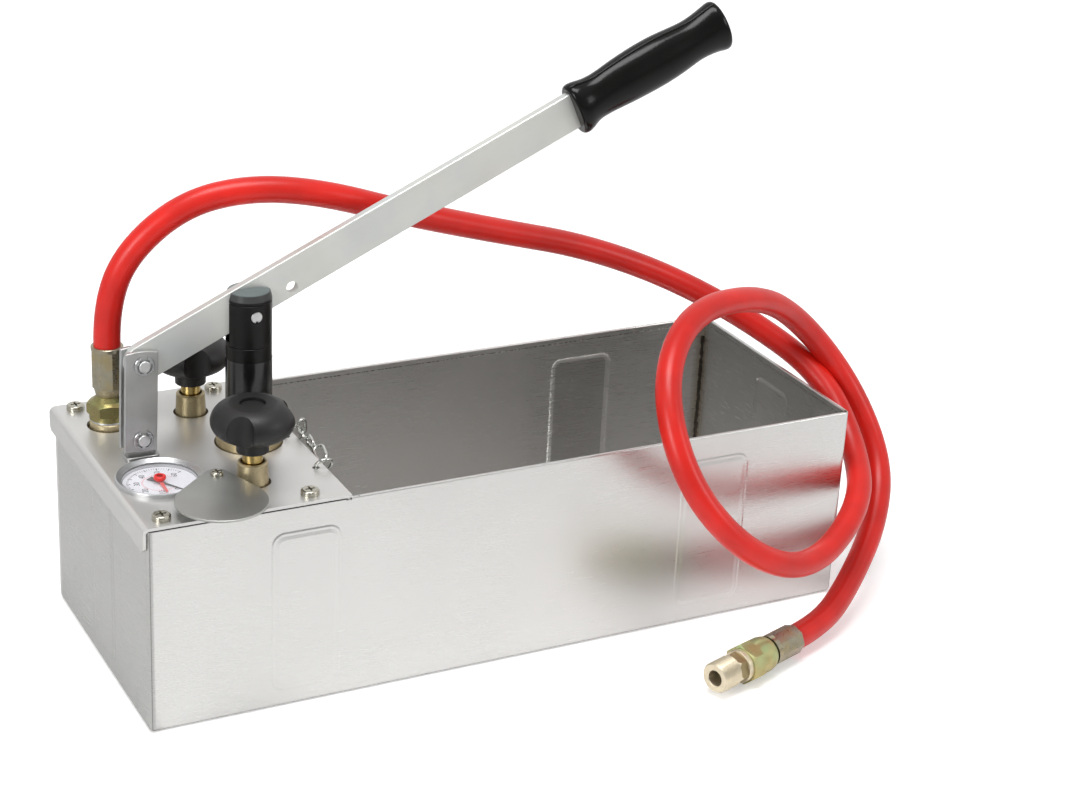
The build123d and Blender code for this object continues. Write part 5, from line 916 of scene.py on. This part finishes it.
chain = {
    "wire": 0.00115,
    "twist": 34.0,
    "kinds": [
        {"length": 0.0120, "width": 0.0072, "links": [
            {"place": (-0.1155, -0.0026, 0.1478), "turn": (8.0, -90.0, -90.0)},
        ]},
        {"length": 0.0142, "width": 0.0084, "links": [
            {"place": (-0.1168, -0.0083, 0.1438), "turn": (126.0, 0.0, -90.0)},
            {"place": (-0.1158, -0.0196, 0.1434), "turn": (92.0, 4.0, -90.0)},
            {"place": (-0.1198, -0.0486, 0.1380), "turn": (120.0, 4.0, -112.0)},
        ]},
        {"length": 0.0180, "width": 0.0094, "links": [
            {"place": (-0.1153, -0.0345, 0.1417), "turn": (40.0, 12.0, -96.0)},
        ]},
    ],
    "rings": [{"y": -0.002, "lean": 90.0}, {"y": -0.0534, "lean": -58.0}],
    "ringCentre": (-0.121, 0.1431),  # along and above the cover
    "ringSize": 0.011,
    "bendShare": 0.49,
    "bendSteps": 8,
    "pathPoints": 44,
    "wireSides": 12,
}


# bent wire links on the points of a mesh, turned by its "turn" attribute
def makeLinkTree():
    tree, given, result = newTree("chainLinks", ("Length", "Width", "Wire", "Twist"))
    new, link = tree.nodes.new, tree.links.new
    long, wide = [combine(tree, "MULTIPLY_ADD", given["Wire"], -2.0, given[name])
                  for name in ("Length", "Width")]
    box = new("GeometryNodeCurvePrimitiveQuadrilateral")
    link(long, box.inputs["Width"])
    link(wide, box.inputs["Height"])
    bend = new("GeometryNodeFilletCurve")
    bend.mode = "POLY"
    bend.inputs["Count"].default_value = chain["bendSteps"]
    link(box.outputs["Curve"], bend.inputs["Curve"])
    link(combine(tree, "MULTIPLY", wide, chain["bendShare"]), bend.inputs["Radius"])
    even = new("GeometryNodeResampleCurve")
    even.inputs["Count"].default_value = chain["pathPoints"]
    link(bend.outputs["Curve"], even.inputs["Curve"])
    where = new("GeometryNodeInputPosition").outputs[0]
    share = combine(tree, "DIVIDE", axesOf(tree, where)["X"], given["Length"])
    wring = new("ShaderNodeVectorRotate")
    wring.rotation_type = "X_AXIS"
    link(where, wring.inputs["Vector"])
    link(combine(tree, "MULTIPLY", share, given["Twist"]), wring.inputs["Angle"])
    put = new("GeometryNodeSetPosition")
    link(even.outputs["Curve"], put.inputs["Geometry"])
    link(wring.outputs[0], put.inputs["Position"])
    section = new("GeometryNodeCurvePrimitiveCircle")
    section.inputs["Resolution"].default_value = chain["wireSides"]
    link(given["Wire"], section.inputs["Radius"])
    wire = new("GeometryNodeCurveToMesh")
    link(put.outputs[0], wire.inputs["Curve"])
    link(section.outputs["Curve"], wire.inputs["Profile Curve"])
    smooth = new("GeometryNodeSetShadeSmooth")
    link(wire.outputs[0], smooth.inputs["Geometry"])
    turned = new("GeometryNodeInputNamedAttribute")
    turned.data_type = "FLOAT_VECTOR"
    turned.inputs["Name"].default_value = "turn"
    points, turn = given["Geometry"], turned.outputs["Attribute"]
    return endTree(tree, given, result, points, smooth.outputs[0], turn)


def pointMesh(name, places, turns):
    mesh = bpy.data.meshes.new(name)
    mesh.from_pydata(places, [], [])
    turn = mesh.attributes.new("turn", "FLOAT_VECTOR", "POINT")
    for item, value in zip(turn.data, turns):
        item.vector = value
    return mesh


def makeChain():
    tree = makeLinkTree()
    look = {"Wire": chain["wire"], "Material": materials["chainZinc"]}
    links = []
    for kind in chain["kinds"]:
        places = [link["place"] for link in kind["links"]]
        turns = [tuple(math.radians(value) for value in link["turn"]) for link in kind["links"]]
        links.append(grow("links", tree, {"Length": kind["length"], "Width": kind["width"],
                                          "Twist": math.radians(chain["twist"]), **look},
                          pointMesh("links", places, turns)))
    ringX, ringZ = chain["ringCentre"]
    places = [(ringX, ring["y"], ringZ) for ring in chain["rings"]]
    turns = [(math.radians(ring["lean"]), 0.0, 0.0) for ring in chain["rings"]]
    across = chain["ringSize"] + 2 * chain["wire"]
    rings = grow("rings", tree, {"Length": across, "Width": across, "Twist": 0.0, **look},
                 pointMesh("rings", places, turns))
    mesh = joined("lockChain", links + [rings], "chainZinc")
    piece = addMesh("lockChainLinks", mesh, "frame")
    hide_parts("lock_chain")


makeChain()
print("chain linked")

ridge = {
    "pivot": (-0.1513, 0.0, 0.233),
    "angle": 24.8,
    "above": 0.0065,
    # distance from the pivot along the lever, and height of the grip's top over its middle
    "tops": [(0.2536, 0.0173), (0.2576, 0.0173), (0.264, 0.0159), (0.2715, 0.0152),
             (0.2865, 0.0163), (0.3035, 0.0174), (0.3215, 0.0172), (0.3375, 0.0156),
             (0.3475, 0.0150), (0.356, 0.0157), (0.364, 0.0170), (0.3688, 0.0174)],
    "turn": 12.0,
    "radius": 0.0009,
    "proud": -0.0003,
    "steps": 8,
    "roundness": 3,
}


# the moulding's parting line along the top of the grip
def makeRidge():
    angle = math.radians(ridge["angle"])
    along = Vector((math.cos(angle), 0.0, math.sin(angle)))
    upward = Vector((-math.sin(angle), 0.0, math.cos(angle)))
    turn = math.radians(ridge["turn"])
    outward = upward * math.cos(turn) + Vector((0.0, -math.sin(turn), 0.0))
    curve = bpy.data.curves.new("gripRidge", "CURVE")
    curve.dimensions = "3D"
    line = curve.splines.new("BEZIER")
    line.bezier_points.add(len(ridge["tops"]) - 1)
    for point, (reach, height) in zip(line.bezier_points, ridge["tops"]):
        middle = Vector(ridge["pivot"]) + along * reach + upward * ridge["above"]
        point.co = middle + outward * (height + ridge["proud"])
        point.handle_left_type = point.handle_right_type = "AUTO"
    line.resolution_u = ridge["steps"]
    curve.bevel_depth = ridge["radius"]
    curve.bevel_resolution = ridge["roundness"]
    curve.use_fill_caps = True
    mesh = settle(placeObject("gripRidge", curve), "gripRidge")
    mesh.materials.clear()
    mesh.materials.append(materials["gripBlack"])
    addMesh("gripRidge", mesh, leverBody)


leverBody = body_of(nodes["lever_grip"])[0]
makeRidge()
print("grip ridge laid")

# each pair under "at" is where the first level ends and where the full one begins
studio = {
    "floor": {"size": 30, "height": -0.0002, "colour": (0.93, 0.93, 0.93), "rough": 0.9},
    "nearGlow": 0.30,
    "farGlow": {"level": 1.0, "at": (1.2, 3.2)},
    "mirroredGlow": 0.05,
    "mirroredFloor": {"X": {"level": 0.62, "at": (-0.25, -0.24)},
                      "Y": {"level": 0.53, "at": (-1.3, -0.25)}},
    "worldDiffuse": 0.46,
    "worldLeft": {"level": 0.64, "at": (-0.9, 0.3)},
    "worldFront": {"level": 0.44, "at": (-0.7, 0.2)},
    "worldAbove": {"level": 0.72, "at": (0.35, 0.75)},
    "lamps": [
        {"name": "topSoftbox", "place": (-0.3, -0.4, 2.4), "target": (0, 0, 0.1),
         "size": (1.3, 0.8), "power": 36},
        {"name": "leftSoftbox", "place": (-2.2, -1.0, 1.2), "target": (0, 0, 0.15),
         "size": (0.9, 0.9), "power": 26},
        {"name": "rightSoftbox", "place": (1.9, -1.9, 1.3), "target": (0, 0, 0.1),
         "size": (0.9, 0.9), "power": 14},
    ],
}


# lit by the lamps, and paler to the camera the further away it lies; mirrored, it is dimmer
# on the left and in front
def makeFloor():
    given = studio["floor"]
    bpy.ops.mesh.primitive_plane_add(size=given["size"], location=(0, 0, given["height"]))
    floor = bpy.context.active_object
    floor.name = "studioFloor"
    material, tree, shader = newMaterial("paleFloor")
    shader.inputs["Roughness"].default_value = given["rough"]
    shader.inputs["Specular IOR Level"].default_value = 0.0
    path = tree.nodes.new("ShaderNodeLightPath").outputs
    axes = axesOf(tree, objectPlace(tree))
    dims = [spread(tree, axes[axis], part["level"], 1.0, *part["at"])
            for axis, part in studio["mirroredFloor"].items()]
    dim = combine(tree, "MULTIPLY", *dims)
    gloss = path["Is Glossy Ray"]
    loss = combine(tree, "MULTIPLY", gloss, combine(tree, "SUBTRACT", 1.0, dim))
    level = combine(tree, "SUBTRACT", 1.0, loss)
    colour = blendColour(tree, level, (0.0, 0.0, 0.0), given["colour"])
    tree.links.new(colour, shader.inputs["Base Color"])
    far = studio["farGlow"]
    away = reachOf(tree, axes["X"], axes["Y"])
    reach = spread(tree, away, studio["nearGlow"], far["level"], *far["at"])
    seen = combine(tree, "MULTIPLY", path["Is Camera Ray"], reach)
    mirrored = combine(tree, "MULTIPLY", gloss, dim)
    mirrored = combine(tree, "MULTIPLY", mirrored, studio["mirroredGlow"])
    glow = tree.nodes.new("ShaderNodeEmission")
    glow.inputs["Color"].default_value = (1, 1, 1, 1)
    tree.links.new(combine(tree, "ADD", seen, mirrored), glow.inputs["Strength"])
    both = tree.nodes.new("ShaderNodeAddShader")
    tree.links.new(shader.outputs[0], both.inputs[0])
    tree.links.new(glow.outputs[0], both.inputs[1])
    tree.links.new(both.outputs[0], tree.nodes["Material Output"].inputs["Surface"])
    floor.data.materials.append(material)


# white to the camera and through glass; mirrored, it is dimmer in front, on the left and overhead
def makeWorld():
    world = bpy.data.worlds.new("studioWorld")
    bpy.context.scene.world = world
    world.use_nodes = True
    tree = world.node_tree
    back = tree.nodes["Background"]
    back.inputs["Color"].default_value = (1, 1, 1, 1)
    path = tree.nodes.new("ShaderNodeLightPath").outputs
    seen = combine(tree, "MAXIMUM", path["Is Camera Ray"], path["Is Transmission Ray"])
    axes = axesOf(tree, tree.nodes.new("ShaderNodeTexCoord").outputs["Generated"])
    left, front, above = (studio[key] for key in ("worldLeft", "worldFront", "worldAbove"))
    sideways = spread(tree, axes["X"], left["level"], 1.0, *left["at"])
    forward = spread(tree, axes["Y"], front["level"], 1.0, *front["at"])
    overhead = spread(tree, axes["Z"], 0.0, above["level"], *above["at"])
    mirrored = combine(tree, "MULTIPLY", sideways, combine(tree, "MAXIMUM", forward, overhead))
    glossy = tree.nodes.new("ShaderNodeMix")
    tree.links.new(path["Is Glossy Ray"], glossy.inputs[0])
    glossy.inputs[2].default_value = studio["worldDiffuse"]
    tree.links.new(mirrored, glossy.inputs[3])
    tree.links.new(combine(tree, "MAXIMUM", glossy.outputs[0], seen), back.inputs["Strength"])


def makeLamps():
    for lamp in studio["lamps"]:
        light = bpy.data.lights.new(lamp["name"], "AREA")
        light.shape = "RECTANGLE"
        light.size, light.size_y = lamp["size"]
        light.energy = lamp["power"]
        holder = placeObject(lamp["name"], light)
        holder.location = lamp["place"]
        aim = Vector(lamp["target"]) - Vector(lamp["place"])
        holder.rotation_euler = aim.to_track_quat("-Z", "Y").to_euler()


makeFloor()
makeWorld()
makeLamps()
bpy.context.scene.view_settings.view_transform = "Standard"
print("studio lit")
